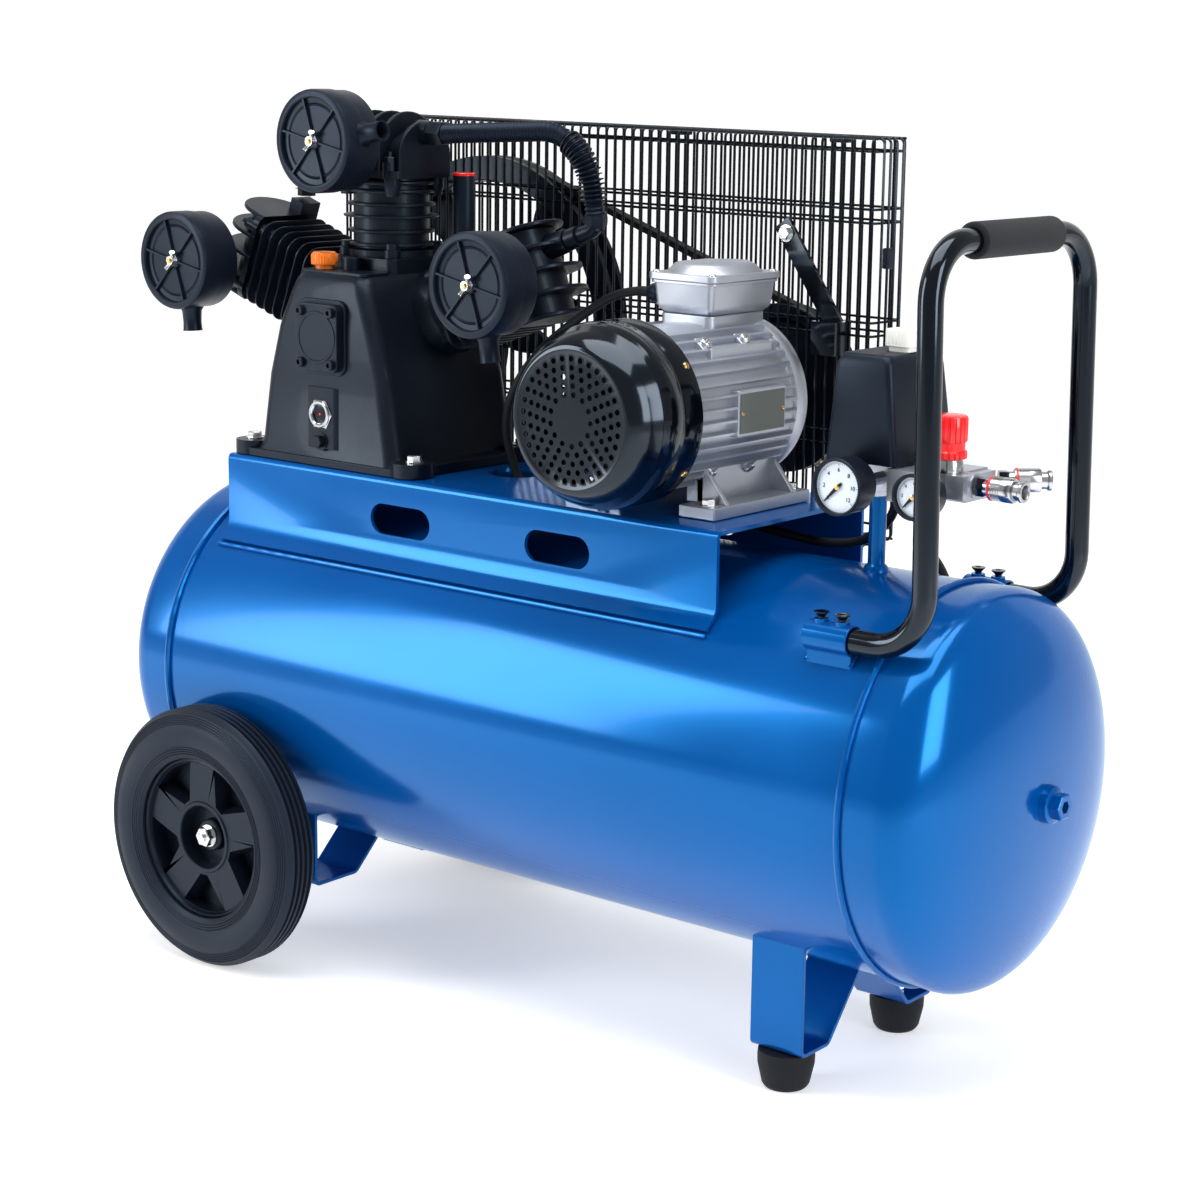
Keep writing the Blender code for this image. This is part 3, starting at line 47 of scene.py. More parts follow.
DOME_POWER = 2.14
PLATE_X = (-0.3985, 0.2385)
PLATE_Y = 0.118
PLATE_Z = 0.512
PLATE_T = 0.004
WHEEL = Vector((-0.3322, 0.0, 0.1343))
WHEEL_FACE_Y = 0.2327
WHEEL_WIDTH = 0.0477
RIM_R = 0.083
FOOT = Vector((0.312, 0.093, 0.036))
HANDLE_Y = 0.13
DRAIN_X = 0.24
SLEEVE_Z = 0.4388
HANDLE_TOP = 0.783
SLEEVE_X = (0.35, 0.396)
SLEEVE_SCREW_XS = (0.362, 0.384)
RISER_X = 0.3315
PLATE_SLOT_XS = (-0.153, 0.05)
LEG_Y = 0.111
STRIP_HALF = 0.029
PUMP_X = -0.27
CRANK_Z = 0.643
BANKS = {"left": (-1, 0.000, 0.0892, 0.185, 0.06), "top": (0, -0.008, 0.0774, 0.157, 0.066),
    "right": (1, 0.004, 0.0892, 0.185, 0.06)}
BANK_TILT = math.radians(70)
FILTERS = {"top": (PUMP_X, 0.837, -0.0518, (0.073, 0.002, 0.013)),
    "left": (PUMP_X - 0.207, 0.706, -0.0438, (0.004, 0, -0.074)),
    "right": (PUMP_X + 0.207, 0.71, -0.0398, (0.01, 0, -0.074))}
FILTER_FRONT, FILTER_REAR, FILTER_R = -0.12, -0.074, 0.051
HEAD_PORT = (-0.008, 0.846)
OIL_CAP = (PUMP_X - 0.03, -0.074, 0)
BASE_BOLT_YS = (-0.094, 0.066)
GLASS = (PUMP_X - 0.001, 0, 0.565)
BELT_Y = 0.15
FLYWHEEL_R = 0.175
PULLEY_R = 0.084
GROOVE = 0.0095
MOTOR = Vector((0.118, 0.0, 0.6065))
FAN_FRONT, FAN_REAR, FAN_R = -0.181, -0.097, 0.086
PAD_TILTS = (50, -42)
GUARD_WIRE = 0.0014
GUARD_LOW = Vector((-0.474, 0.1225, 0.4625))
GUARD_HIGH = Vector((0.238, 0.181, 0.857))
SWITCH_LOW = 0.5785
DIAL_START, DIAL_SWEEP, DIAL_TICKS, DIAL_NUMBERS = 225, 270, 48, 6
GAUGES = {"tank": (0.345, 0.562, 0.026, -0.09), "outlet": (0.417, 0.5605, 0.0205, -0.08)}
REGULATOR = Vector((0.4175, -0.022, 0.5889))
COUPLERS = {"front": ((0.444, -0.018, 0.5665), 0.0), "rear": ((0.44, 0.0225, 0.5665), math.radians(40))}
COIL = Vector((0.08, 0.31, 0.0))
COIL_TURNS = ((0.0536, 0.0046), (0.0446, 0.0046), (0.0446, 0.0136), (0.0536, 0.0136))
LEAD_D = 0.0086
MOTOR_CABLE_R = 0.0045
GLANDS = ((0.352, 0.036), (0.33, 0.038))
PLUG = Vector((0.1438, 0.3636, 0.0195))
ROOT = "compressor"
SHARP_ANGLE = math.radians(38)
OUTLINE_IN_YZ = Matrix(((0, 0, 1, 0), (1, 0, 0, 0), (0, 1, 0, 0), (0, 0, 0, 1)))
OUTLINE_IN_XZ = Matrix(((1, 0, 0, 0), (0, 0, 1, 0), (0, 1, 0, 0), (0, 0, 0, 1)))


# ---------------------------------------------------------------- shape helpers
def pointing(origin, direction):
    """A placement whose local Z runs along a direction."""
    turn = Vector(direction).normalized().to_track_quat("Z", "Y")
    return Matrix.Translation(origin) @ turn.to_matrix().to_4x4()


def shift(x, y, z=0):
    return Matrix.Translation((x, y, z))


def web_plane(side, x, y):
    """The plane of an outline given in (x, z), standing at a y; side -1 mirrors it."""
    return Matrix(((side, 0, 0, x), (0, 0, 1, y), (0, 1, 0, 0), (0, 0, 0, 1)))


def skin(bm, rings, loop=False):
    """Faces between rings of equal count, with both ends closed unless it is a loop."""
    rows = [[bm.verts.new(p) for p in ring] for ring in rings]
    pairs = list(zip(rows, rows[1:]))
    if loop:
        pairs.append((rows[-1], rows[0]))
    for low, high in pairs:
        for i in range(len(low)):
            j = (i + 1) % len(low)
            bm.faces.new((low[i], low[j], high[j], high[i]))
    if not loop:
        bm.faces.new(rows[0])
        bm.faces.new(rows[-1])


def add_turned(bm, profile, place, sides=48, loop=False):
    """Turn a profile of (radius, height) about the local Z of a placement."""
    rows = []
    for radius, height in profile:
        if radius == 0:
            rows.append([bm.verts.new(place @ Vector((0, 0, height)))])
            continue
        row = []
        for i in range(sides):
            a = 2 * math.pi * i / sides
            row.append(bm.verts.new(place @ Vector((radius * math.cos(a), radius * math.sin(a), height))))
        rows.append(row)
    pairs = list(zip(rows, rows[1:]))
    if loop:
        pairs.append((rows[-1], rows[0]))
    for low, high in pairs:
        for i in range(sides):
            j = (i + 1) % sides
            ring = [low[i % len(low)], low[j % len(low)], high[j % len(high)], high[i % len(high)]]
            kept = [v for k, v in enumerate(ring) if v not in ring[:k]]
            if len(kept) > 2:
                bm.faces.new(kept)
    if not loop:
        for row in (rows[0], rows[-1]):
            if len(row) > 1:
                bm.faces.new(row)


def add_rod(bm, radius, low, high, place, sides=48):
    """A plain round or many-sided bar between two heights."""
    add_turned(bm, [(0, low), (radius, low), (radius, high), (0, high)], place, sides)


def add_prism(bm, outline, low, high, place=Matrix.Identity(4)):
    rings = [[place @ Vector((x, y, z)) for x, y in outline] for z in (low, high)]
    skin(bm, rings)


def add_box(bm, low, high, place=Matrix.Identity(4)):
    outline = [(low[0], low[1]), (high[0], low[1]), (high[0], high[1]), (low[0], high[1])]
    add_prism(bm, outline, low[2], high[2], place)


def cross_axes(points, loop=False):
    """Two directions across a line at each of its points, turning as little as they can."""
    count = len(points)
    tangents = []
    for i in range(count):
        before = points[(i - 1) % count] if loop or i else points[0]
        after = points[(i + 1) % count] if loop or i < count - 1 else points[-1]
        tangents.append((after - before).normalized())
    side = tangents[0].orthogonal().normalized()
    axes = []
    for tangent in tangents:
        side = (side - tangent * side.dot(tangent)).normalized()
        axes.append((side.copy(), tangent.cross(side)))
    return axes


def add_tube(bm, points, radius, sides=12, loop=False):
    """A round bar along points; radius is one value or one for each point."""
    points = [Vector(p) for p in points]
    radii = radius if isinstance(radius, (list, tuple)) else [radius] * len(points)
    rings = []
    for point, r, (u, v) in zip(points, radii, cross_axes(points, loop)):
        turns = [2 * math.pi * i / sides for i in range(sides)]
        rings.append([point + u * (r * math.cos(a)) + v * (r * math.sin(a)) for a in turns])
    skin(bm, rings, loop)


def add_pipe(bm, points, outer, inner, sides=24):
    points = [Vector(p) for p in points]
    axes = cross_axes(points)
    turns = [2 * math.pi * i / sides for i in range(sides)]

    def rings(radius):
        return [[p + u * (radius * math.cos(a)) + v * (radius * math.sin(a)) for a in turns] for p,
            (u, v) in zip(points, axes)]

    skin(bm, rings(outer) + rings(inner)[::-1], loop=True)


def add_hex(bm, origin, direction, size, height, sides=6):
    """A bolt head or nut, with chamfered corners and a washer under it."""
    place = pointing(origin, direction)
    add_rod(bm, size * 1.25, 0, 0.0012, place, 24)
    top = height + 0.0012
    profile = [(0, 0.001), (size, 0.001), (size, top - size * 0.12), (size * 0.88, top), (0, top)]
    add_turned(bm, profile, place, sides)


def add_screw(bm, origin, direction, size, height=0.002):
    """A domed pan head."""
    profile = [(size, 0), (size, height * 0.35), (size * 0.85, height * 0.75), (size * 0.5, height),
        (0, height)]
    add_turned(bm, [(0, 0)] + profile, pointing(origin, direction), 20)


def rounded_route(corners, radii, steps=10):
    """A line through corners, each rounded to its radius."""
    points = [Vector(corners[0])]
    for radius, before, corner, after in zip(radii, corners, corners[1:], corners[2:]):
        before, corner, after = Vector(before), Vector(corner), Vector(after)
        to_before = (before - corner).normalized()
        to_after = (after - corner).normalized()
        half = to_before.angle(to_after) / 2
        centre = corner + (to_before + to_after).normalized() * (radius / math.sin(half))
        start = corner + to_before * (radius / math.tan(half)) - centre
        end = corner + to_after * (radius / math.tan(half)) - centre
        span = start.angle(end)
        for i in range(steps + 1):
            t = i / steps
            mixed = start * math.sin((1 - t) * span) + end * math.sin(t * span)
            points.append(centre + mixed.normalized() * radius)
    points.append(Vector(corners[-1]))
    return points


def rounded_rectangle(low, high, radius, steps=6):
    outline = []
    middle = ((low[0] + high[0]) / 2, (low[1] + high[1]) / 2)
    for x, y, quarter in ((high[0], high[1], 0), (low[0], high[1], 1), (low[0], low[1], 2),
            (high[0], low[1], 3)):
        cx = x - math.copysign(radius, x - middle[0])
        cy = y - math.copysign(radius, y - middle[1])
        for i in range(steps + 1):
            a = math.pi / 2 * (quarter + i / steps)
            outline.append((cx + radius * math.cos(a), cy + radius * math.sin(a)))
    return outline


def obround(length, height, centre, steps=10):
    radius = height / 2
    outline = []
    for side in (1, -1):
        for i in range(steps + 1):
            a = -math.pi / 2 + math.pi * i / steps
            x = centre[0] + side * (length / 2 - radius + radius * math.cos(a))
            outline.append((x, centre[1] + side * radius * math.sin(a)))
    return outline


def thick_strip(line, thick):
    """Outline of a bent sheet that lies on the left of an open line."""
    line = [Vector(p[:2]) for p in line]
    steps = [(b - a).normalized() for a, b in zip(line, line[1:])]
    offset = []
    for i, point in enumerate(line):
        near = steps[max(i - 1, 0):i + 1] or steps[-1:]
        normals = [Vector((-s.y, s.x)) for s in near]
        mean = sum(normals, Vector((0, 0))).normalized()
        offset.append(point + mean * (thick / mean.dot(normals[0])))
    return [tuple(p) for p in line] + [tuple(p) for p in reversed(offset)]


def smooth_curve(points, per_span):
    """Catmull-Rom points through a given route."""
    route = [Vector(p) for p in points]
    route = [route[0] * 2 - route[1]] + route + [route[-1] * 2 - route[-2]]
    made = []
    for k in range(len(route) - 3):
        a, b, c, d = route[k:k + 4]
        for i in range(per_span):
            t = i / per_span
            square = a * 2 - b * 5 + c * 4 - d
            cube = b * 3 - a - c * 3 + d
            made.append((b * 2 + (c - a) * t + square * t ** 2 + cube * t ** 3) / 2)
    made.append(route[-2])
    return made


def soften(made, width, segments=2):
    """Round the sharp edges of an object."""
    edge = made.modifiers.new("edge", "BEVEL")
    edge.width = width
    edge.segments = segments
    edge.limit_method = "ANGLE"
    edge.angle_limit = SHARP_ANGLE
    edge.harden_normals = True


def piece(name, bm, finish, body=ROOT, nodes=(), bevel=0.0, segments=2, cutters=()):
    """Make a mesh object, cut and bevel it, and tie it to the frame."""
    bmesh.ops.recalc_face_normals(bm, faces=bm.faces)
    mesh = bpy.data.meshes.new(name)
    bm.to_mesh(mesh)
    bm.free()
    mesh.shade_smooth()
    mesh.set_sharp_from_angle(angle=SHARP_ANGLE)
    made = bpy.data.objects.new(name, mesh)
    bpy.context.scene.collection.objects.link(made)
    made.data.materials.append(finish)
    for cutter in cutters:
        cut_away(made, cutter)
    if bevel:
        soften(made, bevel, segments)
    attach(made, body)
    if nodes:
        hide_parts(*nodes)
    return made


def cut_away(target, cutter):
    bmesh.ops.recalc_face_normals(cutter, faces=cutter.faces)
    mesh = bpy.data.meshes.new("cutter")
    cutter.to_mesh(mesh)
    cutter.free()
    tool = bpy.data.objects.new("cutter", mesh)
    bpy.context.scene.collection.objects.link(tool)
    step = target.modifiers.new("cut", "BOOLEAN")
    step.operation = "DIFFERENCE"
    step.solver = "EXACT"
    step.object = tool
    bpy.context.view_layer.update()
    result = bpy.data.meshes.new_from_object(target.evaluated_get(bpy.context.evaluated_depsgraph_get()))
    target.modifiers.clear()
    target.data = result
    target.data.polygons.foreach_set("material_index", [0] * len(result.polygons))
    target.data.set_sharp_from_angle(angle=SHARP_ANGLE)
    bpy.data.objects.remove(tool, do_unlink=True)


# ---------------------------------------------------------------- materials
def set_inputs(node, values):
    for name, value in values.items():
        node.inputs[name].default_value = value


def finish_of(name, colour, roughness, metallic=0.0, coat=0.0, grain=400.0, bump=0.05, spread=0.12,
        patches=9.0, rough_spread=0.08, sheen=0.0, specular=0.5, tone=(1, 1, 1)):
    """A paint, metal, plastic or rubber: cloudy colour and roughness, and a fine surface grain."""
    made = bpy.data.materials.new(name)
    made.use_nodes = True
    nodes, links = made.node_tree.nodes, made.node_tree.links
    shader = nodes["Principled BSDF"]
    set_inputs(shader, {"Metallic": metallic, "Specular IOR Level": specular, "Specular Tint": (*tone, 1),
        "Coat Weight": coat, "Coat Roughness": 0.06, "Sheen Weight": sheen})
    place = nodes.new("ShaderNodeTexCoord")
    cloud = nodes.new("ShaderNodeTexNoise")
    set_inputs(cloud, {"Scale": patches, "Detail": 6.0})
    links.new(place.outputs["Object"], cloud.inputs["Vector"])
    tint = nodes.new("ShaderNodeValToRGB")
    tint.color_ramp.elements[0].position = 0.3
    tint.color_ramp.elements[1].position = 0.7
    tint.color_ramp.elements[0].color = (*[c * (1 - spread) for c in colour], 1)
    tint.color_ramp.elements[1].color = (*[min(1, c * (1 + spread)) for c in colour], 1)
    links.new(cloud.outputs["Fac"], tint.inputs["Fac"])
    links.new(tint.outputs["Color"], shader.inputs["Base Color"])
    gloss = nodes.new("ShaderNodeMapRange")
    set_inputs(gloss, {"From Min": 0.3, "From Max": 0.7, "To Min": max(0.02, roughness - rough_spread),
        "To Max": min(1.0, roughness + rough_spread)})
    links.new(cloud.outputs["Fac"], gloss.inputs["Value"])
    links.new(gloss.outputs["Result"], shader.inputs["Roughness"])
    fine = nodes.new("ShaderNodeTexNoise")
    set_inputs(fine, {"Scale": grain, "Detail": 3.0})
    links.new(place.outputs["Object"], fine.inputs["Vector"])
    relief = nodes.new("ShaderNodeBump")
    set_inputs(relief, {"Strength": bump, "Distance": 0.0006})
    links.new(fine.outputs["Fac"], relief.inputs["Height"])
    links.new(relief.outputs["Normal"], shader.inputs["Normal"])
    return made


COOL = (0.55, 0.75, 1.0)
BLUE = finish_of("blue_paint", (0.0, 0.072, 0.31), 0.17, 0.25, coat=0.12, grain=140, bump=0.03, spread=0.06,
    patches=5, rough_spread=0.03, specular=0.8, tone=(0.04, 0.62, 1.0))
CAST = finish_of("black_casting", (0.003, 0.004, 0.008), 0.4, coat=0.05, grain=700, bump=0.22, spread=0.2,
    specular=0.26, tone=COOL)
GLOSS = finish_of("black_gloss", (0.001, 0.0015, 0.003), 0.13, coat=0.25, grain=200, bump=0.02,
    rough_spread=0.03, specular=0.35, tone=COOL)
PLASTIC = finish_of("black_plastic", (0.004, 0.006, 0.012), 0.38, grain=1400, bump=0.1, specular=0.26,
    tone=COOL)
WIRE = finish_of("black_wire", (0.001, 0.0015, 0.003), 0.32, coat=0.1, grain=500, bump=0.04, specular=0.25,
    tone=COOL)
RUBBER = finish_of("rubber", (0.005, 0.006, 0.009), 0.62, grain=900, bump=0.15, rough_spread=0.1,
    specular=0.25)
TYRE = finish_of("tyre_rubber", (0.006, 0.008, 0.015), 0.52, grain=1100, bump=0.2, rough_spread=0.12,
    specular=0.3, tone=COOL)
FOAM = finish_of("foam", (0.008, 0.009, 0.012), 0.92, grain=1800, bump=0.9, spread=0.25, sheen=0.1,
    specular=0.2)
ALLOY = finish_of("aluminium", (0.47, 0.5, 0.56), 0.4, 0.85, grain=900, bump=0.18, spread=0.08)
STEEL = finish_of("steel", (0.42, 0.42, 0.43), 0.32, 1.0, grain=600, bump=0.05)
ZINC = finish_of("zinc", (0.66, 0.67, 0.68), 0.24, 1.0, grain=500, bump=0.06, spread=0.15, patches=60)
CHROME = finish_of("chrome", (0.52, 0.53, 0.55), 0.2, 1.0, grain=300, bump=0.01, rough_spread=0.03)
BRASS = finish_of("brass", (0.6, 0.41, 0.15), 0.26, 1.0, grain=500, bump=0.05, patches=50)
ORANGE = finish_of("orange_plastic", (0.9, 0.2, 0.008), 0.32, grain=900, bump=0.06)
RED = finish_of("red_plastic", (0.8, 0.01, 0.014), 0.26, coat=0.2, grain=900, bump=0.05)
WHITE = finish_of("white_plastic", (0.78, 0.78, 0.75), 0.34, grain=900, bump=0.05, spread=0.03)
DIAL = finish_of("dial_card", (0.7, 0.78, 0.88), 0.4, grain=600, bump=0.02, spread=0.02)
PLATE = finish_of("name_plate", (0.13, 0.145, 0.135), 0.42, 0.6, grain=300, bump=0.04)
FLOOR = finish_of("studio_floor", (0.86, 0.86, 0.86), 0.7, grain=40, bump=0.0, spread=0.004)


# ---------------------------------------------------------------- camera and studio
CAMERA_AT = (1.5747, -1.9014, 0.9354)
CAMERA_TURN = (36.2173, 11.1107, 1.3786)
SWEEP_AWAY = Vector((-0.5909, 0.8068, 0))
SWEEP_ACROSS = Vector((0.8068, 0.5909, 0))
SWEEP_NEAR, SWEEP_BEND, SWEEP_RADIUS, SWEEP_TOP, SWEEP_HALF = -6.0, 4.0, 2.0, 7.0, 11


def add_camera():
    """The photo's view, from its yaw, pitch and roll in degrees."""
    yaw, pitch, roll = (math.radians(a) for a in CAMERA_TURN)
    right = Vector((math.cos(yaw), math.sin(yaw), 0))
    back = Vector((math.sin(yaw) * math.cos(pitch), -math.cos(yaw) * math.cos(pitch), math.sin(pitch)))
    up = back.cross(right)
    across = right * math.cos(roll) + up * math.sin(roll)
    upward = up * math.cos(roll) - right * math.sin(roll)
    data = bpy.data.cameras.new("camera")
    data.sensor_width = 36
    data.lens = 76.19
    data.shift_x = -0.1203
    data.shift_y = -0.0428
    camera = bpy.data.objects.new("camera", data)
    turn = Matrix((across, upward, back)).transposed()
    camera.matrix_world = Matrix.Translation(CAMERA_AT) @ turn.to_4x4()
    bpy.context.scene.collection.objects.link(camera)
    bpy.context.scene.camera = camera


def add_light(name, place, target, size, power, colour=(1, 1, 1)):
    data = bpy.data.lights.new(name, "AREA")
    data.shape = "RECTANGLE"
    data.size, data.size_y = size
    data.energy = power
    data.color = colour
    lamp = bpy.data.objects.new(name, data)
    lamp.matrix_world = pointing(place, Vector(place) - Vector(target))
    bpy.context.scene.collection.objects.link(lamp)


def sweep_profile():
    """(distance, height) of the floor that curves up into the backdrop."""
    profile = [(SWEEP_NEAR, 0.0), (SWEEP_BEND, 0.0)]
    for i in range(1, 13):
        a = math.pi / 2 * i / 12
        profile.append((SWEEP_BEND + SWEEP_RADIUS * math.sin(a), SWEEP_RADIUS - SWEEP_RADIUS * math.cos(a)))
    profile.append((SWEEP_BEND + SWEEP_RADIUS, SWEEP_TOP))
    return profile


def add_sweep():
    bm = bmesh.new()
    rows = []
    for distance, z in sweep_profile():
        ends = [SWEEP_AWAY * distance + SWEEP_ACROSS * w for w in (-SWEEP_HALF, SWEEP_HALF)]
        rows.append([bm.verts.new(end + Vector((0, 0, z))) for end in ends])
    for (a, b), (c, d) in zip(rows, rows[1:]):
        bm.faces.new((a, b, d, c)).smooth = True
    mesh = bpy.data.meshes.new("floor")
    bm.to_mesh(mesh)
    bm.free()
    floor = bpy.data.objects.new("floor", mesh)
    floor.location.z = -0.0005
    floor.data.materials.append(FLOOR)
    shader = FLOOR.node_tree.nodes["Principled BSDF"]
    set_inputs(shader, {"Emission Color": (1, 1, 1, 1), "Emission Strength": 0.44})
    bpy.context.scene.collection.objects.link(floor)


def add_studio():
    world = bpy.data.worlds.new("studio")
    world.use_nodes = True
    set_inputs(world.node_tree.nodes["Background"], {"Color": (1, 1, 1, 1), "Strength": 0.38})
    bpy.context.scene.world = world
    add_sweep()
    add_light("top_box", (0.2, -0.4, 2.6), (0, 0, 0.4), (2.2, 1.6), 60)
    add_light("left_box", (-1.8, -2.0, 1.3), (-0.1, 0, 0.5), (0.9, 1.8), 45)
    add_light("right_box", (2.6, -0.3, 1.4), (0.2, 0, 0.5), (0.8, 1.8), 40)
    bpy.context.scene.view_settings.view_transform = "Standard"


# ---------------------------------------------------------------- cables
MAINS_ROUTE = [(0.352, 0.036, 0.5781), (0.352, 0.036, 0.56), (0.3515, 0.037, 0.535), (0.35, 0.042, 0.509),
    (0.346, 0.057, 0.49), (0.34, 0.083, 0.475), (0.333, 0.113, 0.454), (0.326, 0.142, 0.425),
    (0.319, 0.167, 0.388), (0.313, 0.184, 0.345), (0.308, 0.194, 0.295), (0.303, 0.198, 0.24),
    (0.297, 0.2, 0.185), (0.29, 0.204, 0.13), (0.282, 0.21, 0.082), (0.27, 0.219, 0.044),
    (0.25, 0.231, 0.019), (0.224, 0.243, 0.0075), (0.194, 0.251, 0.0047), (0.165, 0.2555, 0.0046),
    (0.14, 0.2564, 0.0046), (0.1119, 0.2564, 0.0046)]
MOTOR_CABLE_ROUTE = [(0.0625, 0.000, 0.7065), (0.05, 0.000, 0.7065), (0.022, -0.001, 0.7),
    (-0.006, -0.003, 0.685), (-0.038, -0.005, 0.663), (-0.068, -0.007, 0.639), (-0.092, -0.008, 0.612),
    (-0.108, -0.008, 0.583), (-0.1135, -0.006, 0.555), (-0.109, -0.004, 0.53), (-0.1, -0.002, 0.508),
    (-0.086, 0.002, 0.493), (-0.06, 0.02, 0.487), (-0.01, 0.045, 0.486), (0.06, 0.06, 0.486),
    (0.13, 0.062, 0.484), (0.19, 0.058, 0.48), (0.24, 0.052, 0.479), (0.285, 0.05, 0.488),
    (0.315, 0.045, 0.512), (0.327, 0.04, 0.54), (0.33, 0.038, 0.562), (0.33, 0.038, 0.5775)]


def coil_points():
    """Turns wound clockwise, each easing into the next one's radius and layer."""
    points = []
    per_turn = 40
    for k, (radius, height) in enumerate(COIL_TURNS):
        after = COIL_TURNS[min(k + 1, len(COIL_TURNS) - 1)]
        for i in range(per_turn):
            t = i / per_turn
            ease = max(0.0, (t - 0.75) / 0.25)
            ease = ease * ease * (3 - 2 * ease)
            r = radius + (after[0] - radius) * ease
            a = -math.pi / 2 - 2 * math.pi * t
            points.append(COIL + Vector((r * math.cos(a), r * math.sin(a),
                height + (after[1] - height) * ease)))
    radius, height = COIL_TURNS[-1]
    for i in range(per_turn // 2 + 1):
        a = -math.pi / 2 - math.pi * i / (per_turn // 2)
        points.append(COIL + Vector((radius * math.cos(a), radius * math.sin(a), height)))
    return points


def cable(name, points, radius, nodes):
    curve = bpy.data.curves.new(name, "CURVE")
    curve.dimensions = "3D"
    curve.bevel_depth = radius
    curve.bevel_resolution = 5
    curve.use_fill_caps = True
    line = curve.splines.new("POLY")
    line.points.add(len(points) - 1)
    for slot, point in zip(line.points, points):
        slot.co = (*point, 1.0)
    line.use_smooth = True
    made = bpy.data.objects.new(name, curve)
    curve.materials.append(RUBBER)
    bpy.context.scene.collection.objects.link(made)
    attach(made, ROOT)
    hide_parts(*nodes)
    return made


def add_cables():
    tail = [Vector((0.098, PLUG.y, 0.0134)), Vector((PLUG.x - 0.03, PLUG.y, 0.0112))]
    points = smooth_curve(MAINS_ROUTE, 6) + coil_points() + tail
    lead = cable("mains_lead", points, LEAD_D / 2, ("mains_cord", "mains_coil"))
    add_plug()
    cable("motor_lead", smooth_curve(MOTOR_CABLE_ROUTE, 6), MOTOR_CABLE_R, ("motor_cable",))


def cable_glands():
    """Glands and strain reliefs where both cables leave the switch."""
    bm = bmesh.new()
    for x, y in GLANDS:
        place = pointing((x, y, SWITCH_LOW), (0, 0, -1))
        add_turned(bm, [(0, 0), (0.0098, 0), (0.0098, 0.006), (0.0088, 0.007), (0, 0.007)], place, 6)
        relief = [(0.0083, 0.0065), (0.0083, 0.011), (0.0072, 0.013), (0.0052, 0.034), (0.0047, 0.0345),
            (0.0047, 0.0065)]
        add_turned(bm, relief, place, 20, loop=True)
    piece("cable_glands", bm, RUBBER)


def add_plug():
    """Round two-pin plug with a ribbed strain relief."""
    bm = bmesh.new()
    x, y, z = PLUG
    points = [Vector((x - 0.0305 + 0.001 * i, y, 0.0112 + (z - 0.0112) * (i / 28) ** 1.6)) for i in range(29)]
    ribs = [0.0056 + 0.0022 * i / 28 + (0.0007 if i % 4 < 2 else 0.0) for i in range(29)]
    add_tube(bm, points, ribs, 20)
    body = [(0.0, -0.004), (0.009, -0.004), (0.0125, 0.000), (0.0175, 0.004), (0.0184, 0.008),
        (0.0184, 0.021), (0.0178, 0.0225), (0.0165, 0.0262), (0.0, 0.0262)]
    place = pointing((x, y, z), (1, 0, 0))
    add_turned(bm, body, place, 40)
    made = piece("plug_body", bm, RUBBER, nodes=("mains_plug",))
    bm = bmesh.new()
    for side in (-1, 1):
        pin = [(0.0, 0.024), (0.0024, 0.024), (0.0024, 0.043), (0.0016, 0.0448), (0.0, 0.0448)]
        add_turned(bm, pin, pointing((x, y + side * 0.0095, z), (1, 0, 0)), 16)
    pins = piece("plug_pins", bm, BRASS)
    pins.parent = made
    return made


def keep(name, finish, bevel=0.0):
    """A CAD node whose shape stays, with a finish and soft edges."""
    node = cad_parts[name]
    node.data.materials.clear()
    node.data.materials.append(finish)
    if bevel:
        soften(node, bevel)


# ---------------------------------------------------------------- tank and frame
def along_x(x, y, z):
    return pointing((x, y, z), (1, 0, 0))


def along_y(x, z):
    """A placement whose local Z is the frame's Y, so that heights are y values."""
    return pointing((x, 0, z), (0, 1, 0))


def add_bead(bm, points, radius, loop=False):
    """A weld bead: a round bar whose girth ripples."""
    ripples = [radius * (1 + 0.03 * math.sin(0.9 * i)) for i in range(len(points))]
    add_tube(bm, points, ripples, 8, loop)


def shell_profile():
    """Girth of the tank along X, with both dished heads and the seams."""
    straight = SEAM_X + SKIRT
    dome = []
    for i in range(1, 25):
        a = math.pi / 2 * i / 25
        dome.append((TANK_R * math.cos(a) ** (2 / DOME_POWER), DOME * math.sin(a) ** (2 / DOME_POWER)))
    dome.append((0, DOME))
    right = [(r, straight + d) for r, d in dome]
    left = [(r, -straight - d) for r, d in reversed(dome)]
    lap = []
    for side in (-1, 1):
        steps = [(TANK_R - 0.0012, -0.003), (TANK_R - 0.0012, 0.003)]
        lap += [(r, side * (SEAM_X + d * side)) for r, d in steps]
    return left + [(TANK_R, -straight)] + lap + [(TANK_R, straight)] + right


def tank_shell():
    bm = bmesh.new()
    add_turned(bm, shell_profile(), along_x(0, 0, TANK_Z), 160)
    end = SEAM_X + SKIRT + DOME
    for side in (-1, 1):
        place = pointing((side * (end - 0.012), 0, TANK_Z), (side, 0, 0))
        add_turned(bm, [(0, 0), (0.0185, 0.006), (0.017, 0.015), (0.017, 0.019), (0.0155, 0.02), (0, 0.02)],
            place)
        hexagon = [(0.0125, 0.018), (0.0125, 0.0292), (0.0115, 0.03), (0.0062, 0.03), (0.0062, 0.02),
            (0, 0.02)]
        add_turned(bm, hexagon, place, 6)
    low = TANK_Z - TANK_R
    add_turned(bm, [(0.0085, low - 0.005), (0.0155, low - 0.005), (0.016, low - 0.004),
        (0.016, low + 0.004), (0.0085, low + 0.004)], shift(DRAIN_X, 0), 32, loop=True)
    crown = TANK_Z + TANK_R
    add_turned(bm, [(0, crown - 0.004), (0.0125, crown - 0.002), (0.0105, crown + 0.003),
        (0.008, crown + 0.0055), (0.008, 0.5495), (0, 0.5495)], shift(RISER_X, 0), 32)
    piece("tank_shell", bm, BLUE, nodes=("air_tank",))


